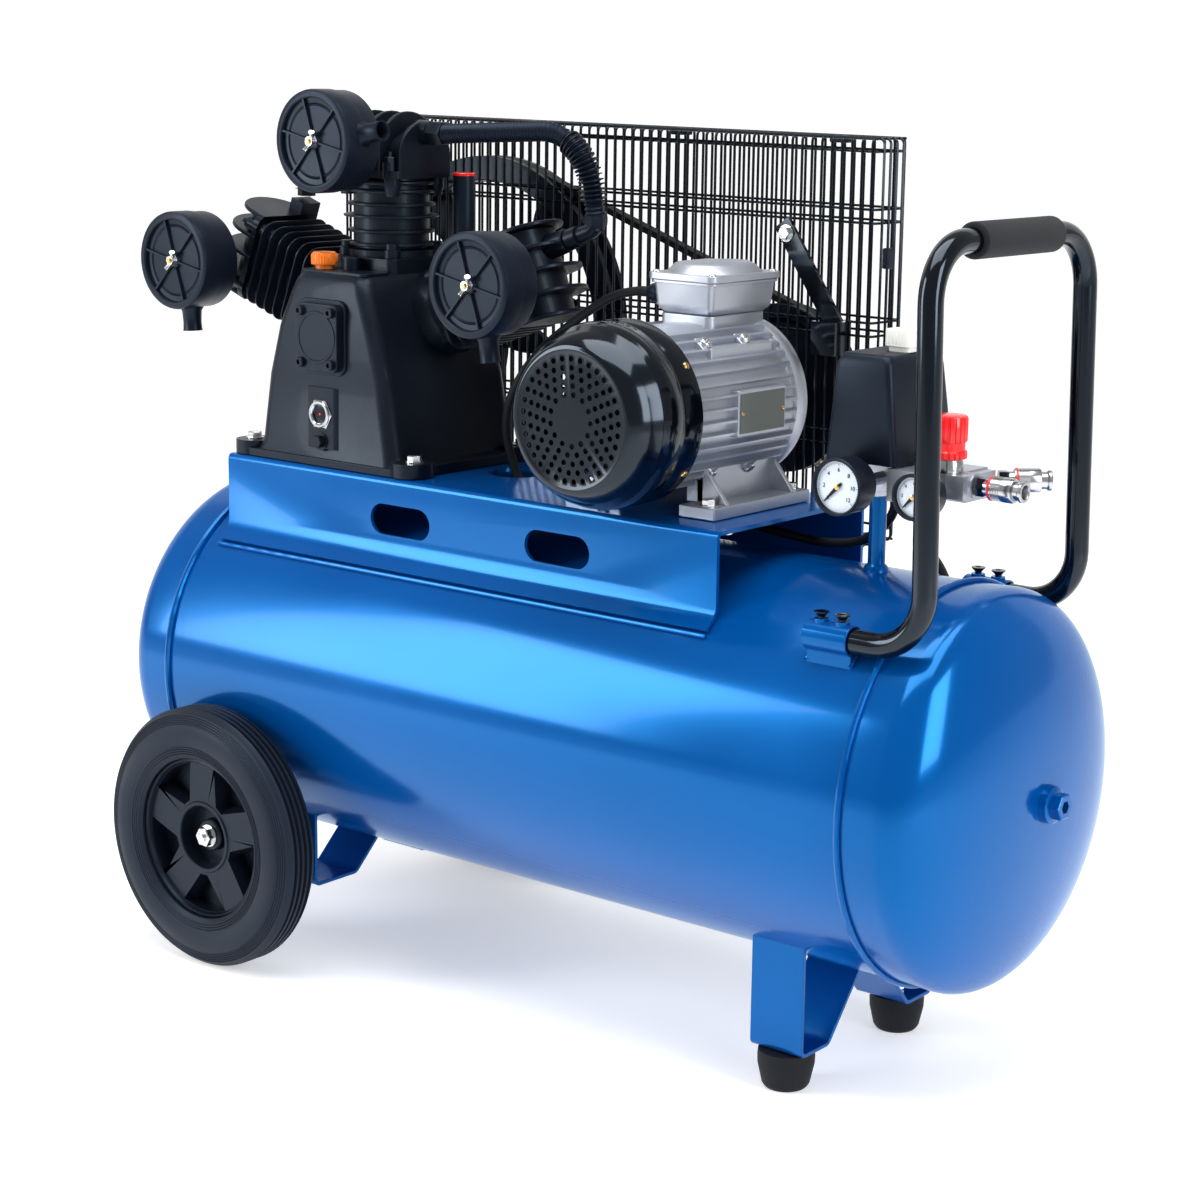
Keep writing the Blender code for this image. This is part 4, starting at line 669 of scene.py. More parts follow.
def weld_beads():
    bm = bmesh.new()
    for side in (-1, 1):
        ring = []
        for i in range(360):
            a = 2 * math.pi * i / 360
            ring.append((side * SEAM_X, (TANK_R + 0.0004) * math.cos(a),
                TANK_Z + (TANK_R + 0.0004) * math.sin(a)))
        add_bead(bm, ring, 0.003, loop=True)
        angle = math.acos((PLATE_Y + 0.0145) / TANK_R)
        y, z = side * TANK_R * math.cos(angle), TANK_Z + TANK_R * math.sin(angle)
        count = 220
        line = [(PLATE_X[0] + (PLATE_X[1] - PLATE_X[0]) * i / count, y, z + 0.001) for i in range(count + 1)]
        add_bead(bm, line, 0.0022)
        for x in SLEEVE_X:
            low = [(x, side * (0.117 + 0.0008 * i),
                TANK_Z + math.sqrt(TANK_R ** 2 - (0.117 + 0.0008 * i) ** 2)) for i in range(22)]
            add_bead(bm, low, 0.0022)
    piece("weld_beads", bm, BLUE)


def handle_sleeves():
    bm = bmesh.new()
    for side in (-1, 1):
        add_pipe(bm, [(x, side * HANDLE_Y, SLEEVE_Z) for x in SLEEVE_X], 0.0138, 0.0117, 40)
        low, high = sorted((side * (HANDLE_Y - 0.009), side * (HANDLE_Y + 0.004)))
        add_box(bm, (SLEEVE_X[0], low, 0.408), (SLEEVE_X[1], high, 0.43))
        for x in SLEEVE_SCREW_XS:
            add_rod(bm, 0.0068, 0.448, 0.4548, shift(x, side * HANDLE_Y), 24)
    piece("handle_sleeves", bm, BLUE, bevel=0.0006)


def sleeve_screws():
    bm = bmesh.new()
    for side in (-1, 1):
        for x in SLEEVE_SCREW_XS:
            origin = shift(x, side * HANDLE_Y)
            add_turned(bm, [(0, 0.452), (0.0032, 0.452), (0.0032, 0.4562), (0.0068, 0.4598),
                (0.0068, 0.4608), (0.003, 0.4608), (0.003, 0.4584), (0, 0.4584)], origin, 20)
    piece("sleeve_screws", bm, GLOSS)


def plate_outline():
    outer = TANK_R + 0.0006 + PLATE_T
    lip = [(y, TANK_Z + math.sqrt(outer ** 2 - y ** 2)) for y in (-0.1325, -0.129, -0.1255, -0.122)]
    bend = 0.0055
    line = lip + [(-PLATE_Y - 0.0008, TANK_Z + math.sqrt(outer ** 2 - PLATE_Y ** 2) + 0.004)]
    for i in range(9):
        a = math.pi / 2 * i / 8
        line.append((-PLATE_Y + bend - bend * math.cos(a), PLATE_Z - bend + bend * math.sin(a)))
    line[4] = (-PLATE_Y, line[4][1])
    line += [(-y, z) for y, z in reversed(line)]
    return thick_strip(line[::-1], PLATE_T)


def saddle():
    bm = bmesh.new()
    add_prism(bm, plate_outline(), *PLATE_X, OUTLINE_IN_YZ)
    cutters = []
    for x in PLATE_SLOT_XS:
        slot = bmesh.new()
        add_prism(slot, obround(0.08, 0.031, (x, 0.4708), 12), -0.14, 0.14, OUTLINE_IN_XZ)
        cutters.append(slot)
    hole = bmesh.new()
    add_turned(hole, [(0, 0.49), (0.03, 0.49), (0.03, 0.53), (0, 0.53)], shift(-0.102, 0), 48)
    cutters.append(hole)
    piece("saddle", bm, BLUE, nodes=("saddle_plate",), bevel=0.0009, cutters=cutters)


def strip_bracket(name, x, flat_y, floor_z, node):
    middle = TANK_Z - TANK_R - PLATE_T - 0.001
    leg = TANK_Z - math.sqrt(TANK_R ** 2 - LEG_Y ** 2) + 0.004
    half = [(LEG_Y, leg), (LEG_Y, floor_z), (flat_y, floor_z), (0.014, middle)]
    corners = [(-y, z) for y, z in half] + half[::-1]
    radii = (0.007, 0.01, 0.012, 0.012, 0.01, 0.007)
    line = rounded_route([(y, z, 0) for y, z in corners], radii, 5)
    bm = bmesh.new()
    add_prism(bm, thick_strip(line, PLATE_T), x - STRIP_HALF, x + STRIP_HALF, OUTLINE_IN_YZ)
    piece(name, bm, BLUE, nodes=(node,), bevel=0.0008)


def feet():
    strip_bracket("foot_strap", FOOT.x, 0.066, FOOT.z + 0.0004, "foot_bracket")
    for side, end in ((-1, "front"), (1, "rear")):
        bm = bmesh.new()
        profile = [(0, 0), (0.0195, 0), (0.0205, 0.001), (0.0225, 0.004), (0.0265, 0.022), (0.0268, 0.03),
            (0.0262, 0.0355), (0.0255, 0.036), (0.0, 0.036)]
        add_turned(bm, profile, shift(FOOT.x, side * FOOT.y), 56)
        piece("foot_" + end, bm, RUBBER, nodes=("rubber_foot_" + end,))
    bm = bmesh.new()
    for side in (-1, 1):
        add_hex(bm, (FOOT.x, side * FOOT.y, 0.0402), (0, 0, 1), 0.0075, 0.006)
    piece("foot_nuts", bm, ZINC)


# ---------------------------------------------------------------- wheels
def tyre(end, side):
    outer, inner = WHEEL_FACE_Y, WHEEL_FACE_Y - WHEEL_WIDTH
    middle = (outer + inner) / 2
    half = [(0.0834, 0.0185), (0.085, 0.02)]
    for k in range(4):
        r, w = 0.0868 + 0.0025 * k, 0.021 + 0.0006 * k
        half += [(r, w), (r + 0.0008, w + 0.0008), (r + 0.0016, w + 0.0008), (r + 0.002, w + 0.0001)]
    half += [(0.098, 0.0232), (0.1, 0.02385), (0.11, 0.02385), (0.118, 0.0231)]
    for k in range(5):
        r, w = 0.1192 + 0.0022 * k, 0.0222 - 0.001 * k
        half += [(r, w), (r + 0.0006, w + 0.0006), (r + 0.0012, w + 0.0004), (r + 0.0017, w - 0.0008)]
    half += [(0.1312, 0.0158), (0.133, 0.014)]
    tread = []
    for centre in (0.0098, 0.0033, -0.0033, -0.0098):
        tread += [(WHEEL.z, centre + 0.0019), (0.1308, centre + 0.0011), (0.1308, centre - 0.0011),
            (WHEEL.z, centre - 0.0019)]
    profile = half + tread + [(r, -w) for r, w in reversed(half)]
    bm = bmesh.new()
    add_turned(bm, [(r, side * middle + w) for r, w in profile], along_y(WHEEL.x, WHEEL.z), 120, loop=True)
    piece("tyre_" + end + "_look", bm, TYRE, body="wheel_" + end, nodes=("tyre_" + end,))


def sector(middle, radii, spreads):
    """Outline of a window between two spokes, in the wheel's plane."""
    outline = []
    for radius, spread, steps in zip(radii, spreads, (9, 5)):
        for i in range(steps):
            a = math.radians(middle - spread + 2 * spread * i / (steps - 1))
            outline.append((WHEEL.x + radius * math.cos(a), WHEEL.z + radius * math.sin(a)))
    return outline


def hub(end, side):
    outer = WHEEL_FACE_Y - 0.0075
    inner = WHEEL_FACE_Y - WHEEL_WIDTH + 0.0075
    web = (WHEEL_FACE_Y - 0.013, WHEEL_FACE_Y - 0.034)
    cup, lip = WHEEL_FACE_Y - 0.029, WHEEL_FACE_Y - 0.0115
    profile = [(0.0066, cup + 0.008), (0.015, cup + 0.008), (0.0165, cup + 0.0065), (0.017, cup),
        (0.0315, cup), (0.0325, lip - 0.001), (0.0335, lip), (0.0365, lip), (0.0375, web[0]),
        (0.0785, web[0]), (0.0795, outer - 0.001), (0.0805, outer), (RIM_R, outer - 0.001), (RIM_R, inner),
        (0.074, inner), (0.072, web[1]), (0.024, web[1]), (0.022, inner - 0.0055), (0.0066, inner - 0.0055)]
    bm = bmesh.new()
    add_turned(bm, [(r, side * y) for r, y in profile], along_y(WHEEL.x, WHEEL.z), 96, loop=True)
    cutters = []
    for k in range(5):
        mouth = sector(54 + 72 * k, (0.0782, 0.04), (23.0, -7.0))
        floor = sector(54 + 72 * k, (0.0772, 0.043), (18.5, -3.0))
        window = bmesh.new()
        rings = []
        for outline, y in ((mouth, web[0] + 0.01), (mouth, web[0] - 0.0004), (floor, web[0] - 0.008),
                (floor, web[1] + 0.003)):
            rings.append([(x, side * y, z) for x, z in outline])
        skin(window, rings)
        cutters.append(window)
    piece("hub_" + end, bm, PLASTIC, body="wheel_" + end, nodes=("wheel_hub_" + end,), bevel=0.0009,
        cutters=cutters)


def wheels():
    strip_bracket("wheel_strap", -FOOT.x, 0.05, 0.0635, "wheel_bracket")
    bm = bmesh.new()
    for side, end in ((-1, "front"), (1, "rear")):
        tyre(end, side)
        hub(end, side)
        place = pointing((WHEEL.x, 0, WHEEL.z), (0, side, 0))
        add_turned(bm, [(0, 0.105), (0.0095, 0.105), (0.0095, 0.179), (0.006, 0.179), (0.006, 0.2119),
            (0.0115, 0.212), (0.0115, 0.2134), (0, 0.2134)], place, 32)
        add_turned(bm, [(0, 0.213), (0.0103, 0.213), (0.0103, 0.2204), (0.0092, 0.2212), (0, 0.2212)],
            place, 6)
        add_turned(bm, [(0, 0.22), (0.0048, 0.22), (0.0048, 0.2232), (0.004, 0.224), (0, 0.224)], place, 20)
    piece("axle_bolts", bm, ZINC)


# ---------------------------------------------------------------- handle
def leg_x(z):
    return 0.4639 - 0.02 * (z - 0.6)


def handle():
    corners = []
    for side in (-1, 1):
        half = [(0.351, side * HANDLE_Y, SLEEVE_Z), (leg_x(SLEEVE_Z), side * HANDLE_Y, SLEEVE_Z),
            (leg_x(HANDLE_TOP), side * HANDLE_Y, HANDLE_TOP)]
        corners += half if side < 0 else half[::-1]
    bm = bmesh.new()
    add_pipe(bm, rounded_route(corners, [0.05] * 4, 14), 0.011, 0.0095, 32)
    piece("handle_tube", bm, GLOSS, nodes=("push_handle",))
    bm = bmesh.new()
    half, outer, bore = 0.067, 0.016, 0.0113
    ends = []
    for i in range(7):
        a = math.pi / 2 * i / 6
        ends.append((outer - 0.0035 + 0.0035 * math.sin(a), half - 0.0035 + 0.0035 * math.cos(a)))
    profile = [(bore, half)] + ends + [(outer, half * 0.4), (outer, -half * 0.4)]
    profile += [(r, -y) for r, y in reversed(ends)] + [(bore, -half)]
    add_turned(bm, profile, along_y(leg_x(HANDLE_TOP), HANDLE_TOP), 48, loop=True)
    grip = piece("grip_foam", bm, FOAM, nodes=("handle_grip",))


# ---------------------------------------------------------------- pump
def bank(which):
    """From an upright cylinder at the origin to its place on the crankcase."""
    side, y = BANKS[which][:2]
    return shift(PUMP_X, y, CRANK_Z) @ Matrix.Rotation(side * BANK_TILT, 4, "Y")


def crankcase_shell():
    bm = bmesh.new()
    stations = ((0.5127, 0.104, -0.113, 0.085, 0.016), (0.519, 0.101, -0.111, 0.083, 0.016),
        (0.529, 0.0965, -0.1065, 0.0785, 0.016), (0.6, 0.0845, -0.1062, 0.0762, 0.015),
        (0.65, 0.0705, -0.1058, 0.0725, 0.015), (0.688, 0.055, -0.103, 0.0665, 0.015),
        (0.6985, 0.0505, -0.1, 0.062, 0.015), (0.7045, 0.0465, -0.096, 0.058, 0.014),
        (0.7065, 0.042, -0.092, 0.054, 0.012))
    rings = []
    for z, half, front, back, radius in stations:
        outline = rounded_rectangle((PUMP_X - half, front), (PUMP_X + half, back), radius, 7)
        rings.append([(x, y, z) for x, y in outline])
    skin(bm, rings)
    for which in ("left", "right"):
        add_turned(bm, [(0, 0.04), (0.046, 0.04), (0.046, 0.078), (0.043, 0.0885), (0, 0.0885)],
            bank(which), 56)
    for side in (-1, 1):
        for low, high, y in ((0.055, 0.088, -0.02), (0.05, 0.084, 0.03)):
            outline = [(low - 0.02, 0.655), (low - 0.005, 0.665), (high, 0.5273), (high - 0.02, 0.5273)]
            turn = web_plane(side, PUMP_X, y)
            add_prism(bm, [(x + 0.006, z) for x, z in outline], -0.004, 0.004, turn)
    piece("crankcase_shell", bm, CAST, nodes=("crankcase",))


def crankcase_flanges():
    bm = bmesh.new()
    for sx in (-1, 1):
        for y in BASE_BOLT_YS:
            ear = rounded_rectangle((PUMP_X + sx * 0.112 - 0.019, y - 0.021),
                (PUMP_X + sx * 0.112 + 0.019, y + 0.021), 0.0185, 7)
            add_prism(bm, ear, 0.5126, 0.5272)
        low, high = sorted((PUMP_X + sx * 0.092, PUMP_X + sx * 0.122))
        add_prism(bm, rounded_rectangle((low, -0.075), (high, 0.05), 0.006, 4), 0.5126, 0.5225)
    add_prism(bm, rounded_rectangle((PUMP_X - 0.11, -0.114), (PUMP_X + 0.11, 0.086), 0.012, 5), 0.5127,
        0.5205)
    outline = rounded_rectangle((PUMP_X - 0.045, -0.053), (PUMP_X + 0.045, 0.037), 0.009, 5)
    add_prism(bm, outline, 0.7, 0.72)
    add_prism(bm, rounded_rectangle((PUMP_X - 0.022, -0.1095), (PUMP_X + 0.022, -0.09), 0.006, 4), 0.53,
        0.592)
    add_turned(bm, [(0, 0.7035), (0.0145, 0.7035), (0.0135, 0.7069), (0, 0.7069)],
        Matrix.Translation(OIL_CAP), 32)
    add_prism(bm, rounded_rectangle((PUMP_X - 0.046, -0.094), (PUMP_X + 0.046, -0.056), 0.007, 4), 0.7045,
        0.7078)
    add_turned(bm, [(0, 0.706), (0.009, 0.706), (0.009, 0.7195), (0.0082, 0.7205), (0, 0.7205)],
        shift(PUMP_X - 0.002, -0.064), 28)
    piece("crankcase_flanges", bm, CAST, bevel=0.0018, segments=3)


def base_bolts():
    bm = bmesh.new()
    for sx in (-1, 1):
        for y in BASE_BOLT_YS:
            add_hex(bm, (PUMP_X + sx * 0.114, y, 0.5271), (0, 0, 1), 0.0072, 0.0058)
    piece("base_bolts", bm, ZINC)


def bearing_plate():
    bm = bmesh.new()
    for grow, low, high in ((0.004, -0.1085, -0.104), (0.0, -0.116, -0.1075)):
        outline = rounded_rectangle((PUMP_X - 0.029 - grow, CRANK_Z - 0.034 - grow),
            (PUMP_X + 0.029 + grow, CRANK_Z + 0.034 + grow), 0.008 + grow, 7)
        add_prism(bm, outline, low, high, OUTLINE_IN_XZ)
    piece("bearing_plate", bm, CAST, nodes=("bearing_cover",), bevel=0.0012)


def cover_bolts():
    """Ring and bolts of the bearing cover, the plug under the sight glass and the seat of the glass."""
    bm = bmesh.new()
    add_turned(bm, [(0.0225, -0.1155), (0.024, -0.1168), (0.0262, -0.1168), (0.0275, -0.1155)],
        along_y(PUMP_X, CRANK_Z), 56, loop=True)
    for x, z in ((-0.021, -0.026), (0.021, -0.026), (-0.021, 0.026), (0.021, 0.026)):
        add_turned(bm, [(0, 0.1155), (0.0052, 0.1155), (0.0052, 0.1196), (0.0044, 0.1204), (0.0026, 0.1204),
            (0.0026, 0.1184), (0, 0.1184)], pointing((PUMP_X + x, 0, CRANK_Z + z), (0, -1, 0)), 20)
    place = pointing((PUMP_X - 0.001, 0, 0.5375), (0, -1, 0))
    add_rod(bm, 0.0095, 0.105, 0.1105, place, 30)
    add_turned(bm, [(0, 0.11), (0.0068, 0.11), (0.0068, 0.116), (0.006, 0.1168), (0, 0.1168)], place, 6)
    add_turned(bm, [(0, 0.104), (0.02, 0.104), (0.0194, 0.1082), (0, 0.1082)], pointing(GLASS, (0, -1, 0)),
        36)
    piece("cover_bolts", bm, CAST)


def sight_glass():
    bm = bmesh.new()
    place = pointing(GLASS, (0, -1, 0))
    add_turned(bm, [(0.0108, 0.1068), (0.0163, 0.1068), (0.0163, 0.1103), (0.0153, 0.1112),
        (0.0108, 0.1112)], place, 6, loop=True)
    add_turned(bm, [(0.0098, 0.1068), (0.0138, 0.1068), (0.0138, 0.1122), (0.013, 0.113), (0.011, 0.113),
        (0.0098, 0.1118)], place, 40, loop=True)
    piece("sight_glass_nut", bm, CHROME, nodes=("sight_glass",))
    bm = bmesh.new()
    add_turned(bm, [(0, 0.1068), (0.0106, 0.1068), (0.0106, 0.1096), (0, 0.1104)], place, 32)
    piece("sight_glass_pane", bm, GLOSS)
    bm = bmesh.new()
    add_turned(bm, [(0, 0.11), (0.0013, 0.11), (0.0011, 0.1108), (0, 0.1109)], place, 20)
    piece("sight_glass_dot", bm, RED)


def oil_cap():
    bm = bmesh.new()
    place = Matrix.Translation(OIL_CAP)
    outline = []
    for k in range(28):
        for part, radius in ((0.0, 0.0135), (0.45, 0.0135), (0.6, 0.0128), (0.85, 0.0128)):
            a = 2 * math.pi * (k + part) / 28
            outline.append((radius * math.cos(a), radius * math.sin(a)))
    rings = [[place @ Vector((x * f, y * f, z)) for x, y in outline] for f,
        z in ((0.97, 0.7121), (1.0, 0.7128), (1.0, 0.7212), (0.96, 0.7228), (0.86, 0.7238))]
    skin(bm, rings)
    add_turned(bm, [(0, 0.7232), (0.0118, 0.7232), (0.0112, 0.7245), (0.0085, 0.7245), (0.0078, 0.7238),
        (0, 0.7238)], place, 40)
    add_rod(bm, 0.009, 0.7069, 0.7125, place, 28)
    piece("oil_filler_cap", bm, ORANGE, body="oil_cap", nodes=("oil_cap",))


def barrel_ribs(start, end):
    """Girth of the upright barrel: (share of its height, reach, thickness) of each rib, foot to head."""
    ribs = ((0.15, 0.044, 0.003), (0.32, 0.044, 0.003), (0.51, 0.0485, 0.0022), (0.66, 0.0445, 0.003),
        (0.83, 0.045, 0.0034), (0.94, 0.0455, 0.0036))
    profile = []
    for share, reach, thick in ribs:
        z = start + (end - start) * share
        profile += [(0.0385, z - thick * 0.7), (reach - 0.0005, z - thick / 2), (reach, z - thick * 0.3),
            (reach, z + thick * 0.3), (reach - 0.0005, z + thick / 2), (0.0385, z + thick * 0.7)]
    return profile


def add_square_fins(bm, place, start, end):
    """Square plates round a side cylinder."""
    count, thick, half = 6, 0.003, 0.0472
    pitch = (end - start - 0.014) / count
    for k in range(count):
        z = start + 0.014 + pitch * k
        outline = rounded_rectangle((-half, -half), (half, half), 0.016, 6)
        rings = []
        for shrink, rise in ((0.001, 0), (0, 0.0008), (0, thick - 0.0008), (0.001, thick)):
            f = 1 - shrink / half
            rings.append([place @ Vector((x * f, y * f, z + rise)) for x, y in outline])
        skin(bm, rings)


def cylinder(which):
    side, _, start, end, _ = BANKS[which]
    bm = bmesh.new()
    ribs = [] if side else barrel_ribs(start, end)
    add_turned(bm, [(0, start), (0.0445, start), (0.0445, start + 0.0065),
        (0.0385, start + 0.0085)] + ribs + [(0.0385, end), (0, end)], bank(which), 72)
    if side:
        add_square_fins(bm, bank(which), start, end)
    for sx in (-1, 1):
        for sy in (-1, 1):
            place = bank(which) @ shift(sx * 0.0315, sy * 0.0315)
            add_turned(bm, [(0, start), (0.0085, start), (0.0085, start + 0.008), (0.0068, start + 0.0086),
                (0.0068, start + 0.0145), (0, start + 0.0145)], place, 20)
            add_turned(bm, [(0, end - 0.018), (0.0065, end - 0.018), (0.0085, end - 0.008), (0.0085, end),
                (0, end)], place, 20)
    piece("cylinder_%s_look" % which, bm, CAST, nodes=("cylinder_" + which,))


def head_fin(x, thick, half, foot, rise, base, place):
    """An arched fin that stands across local X."""
    rings = []
    for dx, shrink in ((0, 0.0012), (0.001, 0), (thick - 0.001, 0), (thick, 0.0012)):
        ring = [(x + dx, -half + shrink, base), (x + dx, half - shrink, base),
            (x + dx, half - shrink, base + foot)]
        for i in range(1, 20):
            a = math.pi * i / 20
            ring.append((x + dx, (half - shrink) * math.cos(a),
                base + foot + (rise - foot - shrink) * math.sin(a)))
        ring.append((x + dx, -half + shrink, base + foot))
        rings.append([place @ Vector(p) for p in ring])
    return rings


def add_head_ports(bm, side, place, base, height):
    """Where the pipes join each head."""
    if side == 0:
        for way in (-1, 1):
            along = pointing((PUMP_X, *HEAD_PORT), (way, 0, 0))
            add_turned(bm, [(0, 0.04), (0.0125, 0.04), (0.0118, 0.056), (0, 0.056)], along, 36)
            add_turned(bm, [(0, 0.0555), (0.012, 0.0555), (0.013, 0.057), (0.013, 0.0735), (0.012, 0.075),
                (0, 0.075)], along, 6)
    elif side == 1:
        spot = place @ shift(-0.022, 0)
        add_turned(bm, [(0, base + 0.02), (0.0125, base + 0.02), (0.0118, base + height + 0.002),
            (0.011, base + height + 0.004), (0, base + height + 0.004)], spot, 32)
    else:
        add_box(bm, (0.038, 0.016, base + 0.0005), (0.06, 0.042, base + 0.0185), place)


def head(which):
    side, _, _, start, height = BANKS[which]
    place = bank(which)
    base = start + 0.0004
    foot = height - 0.038
    bm = bmesh.new()
    skin(bm, head_fin(-0.043, 0.086, 0.03, foot * 0.8, height - 0.02, base, place))
    count = 5
    for k in range(count):
        x = -0.0475 + (0.095 - 0.0044) * k / (count - 1)
        trim = 0.86 if k in (0, count - 1) else 1.0
        skin(bm, head_fin(x, 0.0044, 0.043 * trim, foot * trim, height * trim, base, place))
    outline = rounded_rectangle((-0.047, -0.0425), (0.047, 0.0425), 0.01, 5)
    rings = [[place @ Vector((x, y, z)) for x, y in outline] for z in (base, base + 0.0075)]
    skin(bm, rings)
    for sx in (-1, 1):
        for sy in (-1, 1):
            spot = place @ shift(sx * 0.0325, sy * 0.036)
            add_rod(bm, 0.0075, base, base + 0.016, spot, 20)
            add_turned(bm, [(0, base + 0.016), (0.0062, base + 0.016), (0.0062, base + 0.0205),
                (0.0052, base + 0.0215), (0.003, base + 0.0215), (0.003, base + 0.0265),
                (0, base + 0.0265)], spot, 6)
    add_head_ports(bm, side, place, base, height)
    piece("head_%s" % which, bm, CAST, nodes=("cylinder_head_" + which,))


def filter_drum(which):
    x, z, back, _ = FILTERS[which]
    front, rear, r = FILTER_FRONT, FILTER_REAR, FILTER_R
    place = along_y(x, z)
    bm = bmesh.new()
    profile = [(0, rear), (r - 0.004, rear), (r - 0.0015, rear - 0.001), (r - 0.001, rear - 0.003),
        (r - 0.0012, -0.094), (r - 0.0002, -0.0945), (r, -0.0965), (r, front + 0.004),
        (r - 0.0008, front + 0.0012), (r - 0.003, front), (0.044, front), (0.0428, front + 0.0012),
        (0.0425, front + 0.0045), (0.0375, front + 0.005), (0.036, front + 0.0038), (0.0345, front + 0.005),
        (0.009, front + 0.0044), (0.008, front + 0.0015), (0, front + 0.001)]
    add_turned(bm, profile, place, 96)
    for k in range(6):
        spoke = place @ Matrix.Rotation(math.radians(60 * k + 12), 4, "Z")
        rings = []
        for reach, half, tall in ((0.006, 0.0016, 0.0012), (0.022, 0.0013, 0.0018), (0.0432, 0.0017, 0.0014)):
            ring = ((reach, -half, front + 0.0055), (reach, half, front + 0.0055),
                (reach, half * 0.6, front + tall), (reach, -half * 0.6, front + tall))
            rings.append([spoke @ Vector(p) for p in ring])
        skin(bm, rings)
    add_turned(bm, [(0, rear - 0.001), (0.0155, rear - 0.001), (0.015, rear + 0.003), (0.013, rear + 0.004),
        (0.013, back), (0, back)], place, 40)
    piece("filter_" + which, bm, PLASTIC, nodes=("air_filter_" + which,))


def filter_snout(which):
    x, z, _, snout = FILTERS[which]
    r = FILTER_R
    middle = Vector((x, (FILTER_FRONT + FILTER_REAR) / 2, z))
    way = Vector(snout)
    length = way.length
    spout = pointing(middle, way)
    bm = bmesh.new()
    add_turned(bm, [(0.0072, length - 0.018), (0.0135, 0.03), (0.0135, r - 0.003), (0.0102, r + 0.0025),
        (0.0094, length - 0.009), (0.0098, length - 0.0015), (0.0104, length), (0.0086, length),
        (0.0076, length - 0.002)], spout, 36, loop=True)
    add_rod(bm, 0.0085, 0.034, 0.037, spout, 24)
    piece("filter_%s_snout" % which, bm, PLASTIC)


def wing_nut(which):
    x, z = FILTERS[which][:2]
    bm = bmesh.new()
    nut = pointing((x, 0, z), (0, -1, 0))
    tilt = nut @ Matrix.Rotation(math.radians(62), 4, "Z")
    for sx in (-1, 1):
        points = [tilt @ Vector((sx * a, 0, h)) for a, h in ((0.002, 0.1205), (0.006, 0.122),
            (0.0105, 0.1245))]
        add_tube(bm, points, [0.0026, 0.0022, 0.003], 12)
    add_turned(bm, [(0, 0.1185), (0.0062, 0.1185), (0.0055, 0.1205), (0.0046, 0.124), (0.003, 0.124)], nut,
        24)
    piece("wing_nut_" + which, bm, ZINC)
    bm = bmesh.new()
    add_turned(bm, [(0, 0.1215), (0.0029, 0.1215), (0.0029, 0.1255), (0.0023, 0.126), (0, 0.126)], nut, 20)
    piece("filter_stud_" + which, bm, BRASS)


def resampled(points, step):
    """Evenly spaced points along a line."""
    made = [Vector(points[0])]
    left = step
    for a, b in zip(points, points[1:]):
        a, b = Vector(a), Vector(b)
        length = (b - a).length
        at = left
        while at < length:
            made.append(a.lerp(b, at / length))
            at += step
        left = at - length
    return made


def discharge_tube():
    start = (PUMP_X + 0.0762, *HEAD_PORT)
    corners = [start, (-0.014, -0.008, 0.856), (-0.006, 0.004, 0.762), (-0.0422, 0.004, 0.7489)]
    line = resampled(rounded_route(corners, (0.055, 0.014), 14), 0.0011)
    cut = round(len(line) * 0.87)
    bm = bmesh.new()
    radii = [0.0083 + 0.0017 * (0.5 + 0.5 * math.cos(math.pi * i / 2)) for i in range(cut)]
    add_tube(bm, line[:cut], radii, 28)
    piece("discharge_hose", bm, PLASTIC, nodes=("discharge_tube",))
    bm = bmesh.new()
    add_tube(bm, line[cut - 2:], 0.0078, 28)
    add_tube(bm, line[cut - 12:cut - 2], 0.0112, 6)
    add_tube(bm, line[-14:-1], 0.0105, 28)
    for k in range(15):
        at = round(len(line) * 0.56) + 4 * k
        add_tube(bm, line[at:at + 2], 0.0128, 28)
    piece("discharge_elbow", bm, CAST)


def intercooler_tube():
    start = (PUMP_X - 0.0762, *HEAD_PORT)
    corners = [start, (-0.405, -0.008, 0.846), (-0.431, 0.029, 0.832), (-0.432, 0.029, 0.7705)]
    line = resampled(rounded_route(corners, (0.022, 0.018), 12), 0.0011)
    bm = bmesh.new()
    radii = [0.0128 if i % 4 < 1 else 0.0076 for i in range(len(line))]
    add_tube(bm, line[:-6], radii[:-6], 28)
    add_tube(bm, line[-9:], 0.0095, 6)
    piece("intercooler_pipe", bm, CAST, nodes=("intercooler_tube",))


def breather_tube():
    bm = bmesh.new()
    place = shift(PUMP_X + 0.065, 0.03)
    add_turned(bm, [(0, 0.707), (0.0135, 0.707), (0.0135, 0.7125), (0.0115, 0.714), (0.0112, 0.803),
        (0.0105, 0.8045), (0.008, 0.8045), (0.008, 0.74), (0, 0.74)], place, 40)
    piece("breather_pipe", bm, PLASTIC, nodes=("breather_tube",))
    bm = bmesh.new()
    add_turned(bm, [(0.0083, 0.8035), (0.0114, 0.803), (0.0114, 0.8052), (0.0105, 0.806), (0.0083, 0.806)],
        place, 40, loop=True)
    piece("breather_ring", bm, RED)


def add_spoke(bm, angle):
    """A spoke that leans 14 degrees about its length and is narrowest half way out."""
    turn = Matrix.Rotation(angle, 4, "Y")
    spoke = shift(PUMP_X, BELT_Y, CRANK_Z) @ turn @ Matrix.Rotation(math.pi / 2, 4, "X")
    spoke = spoke @ Matrix.Rotation(math.radians(14), 4, "X")
    rings = []
    for i in range(13):
        reach = 0.026 + 0.126 * i / 12
        half = 0.016 + 0.0068 * math.cos(2 * math.pi * i / 12)
        ring = [(half, -0.003), (half, 0.003), (half - 0.004, 0.0044), (-half + 0.004, 0.0044),
            (-half, 0.003), (-half, -0.003), (-half + 0.004, -0.0044), (half - 0.004, -0.0044)]
        rings.append([spoke @ Vector((reach, a, b)) for a, b in ring])
    skin(bm, rings)


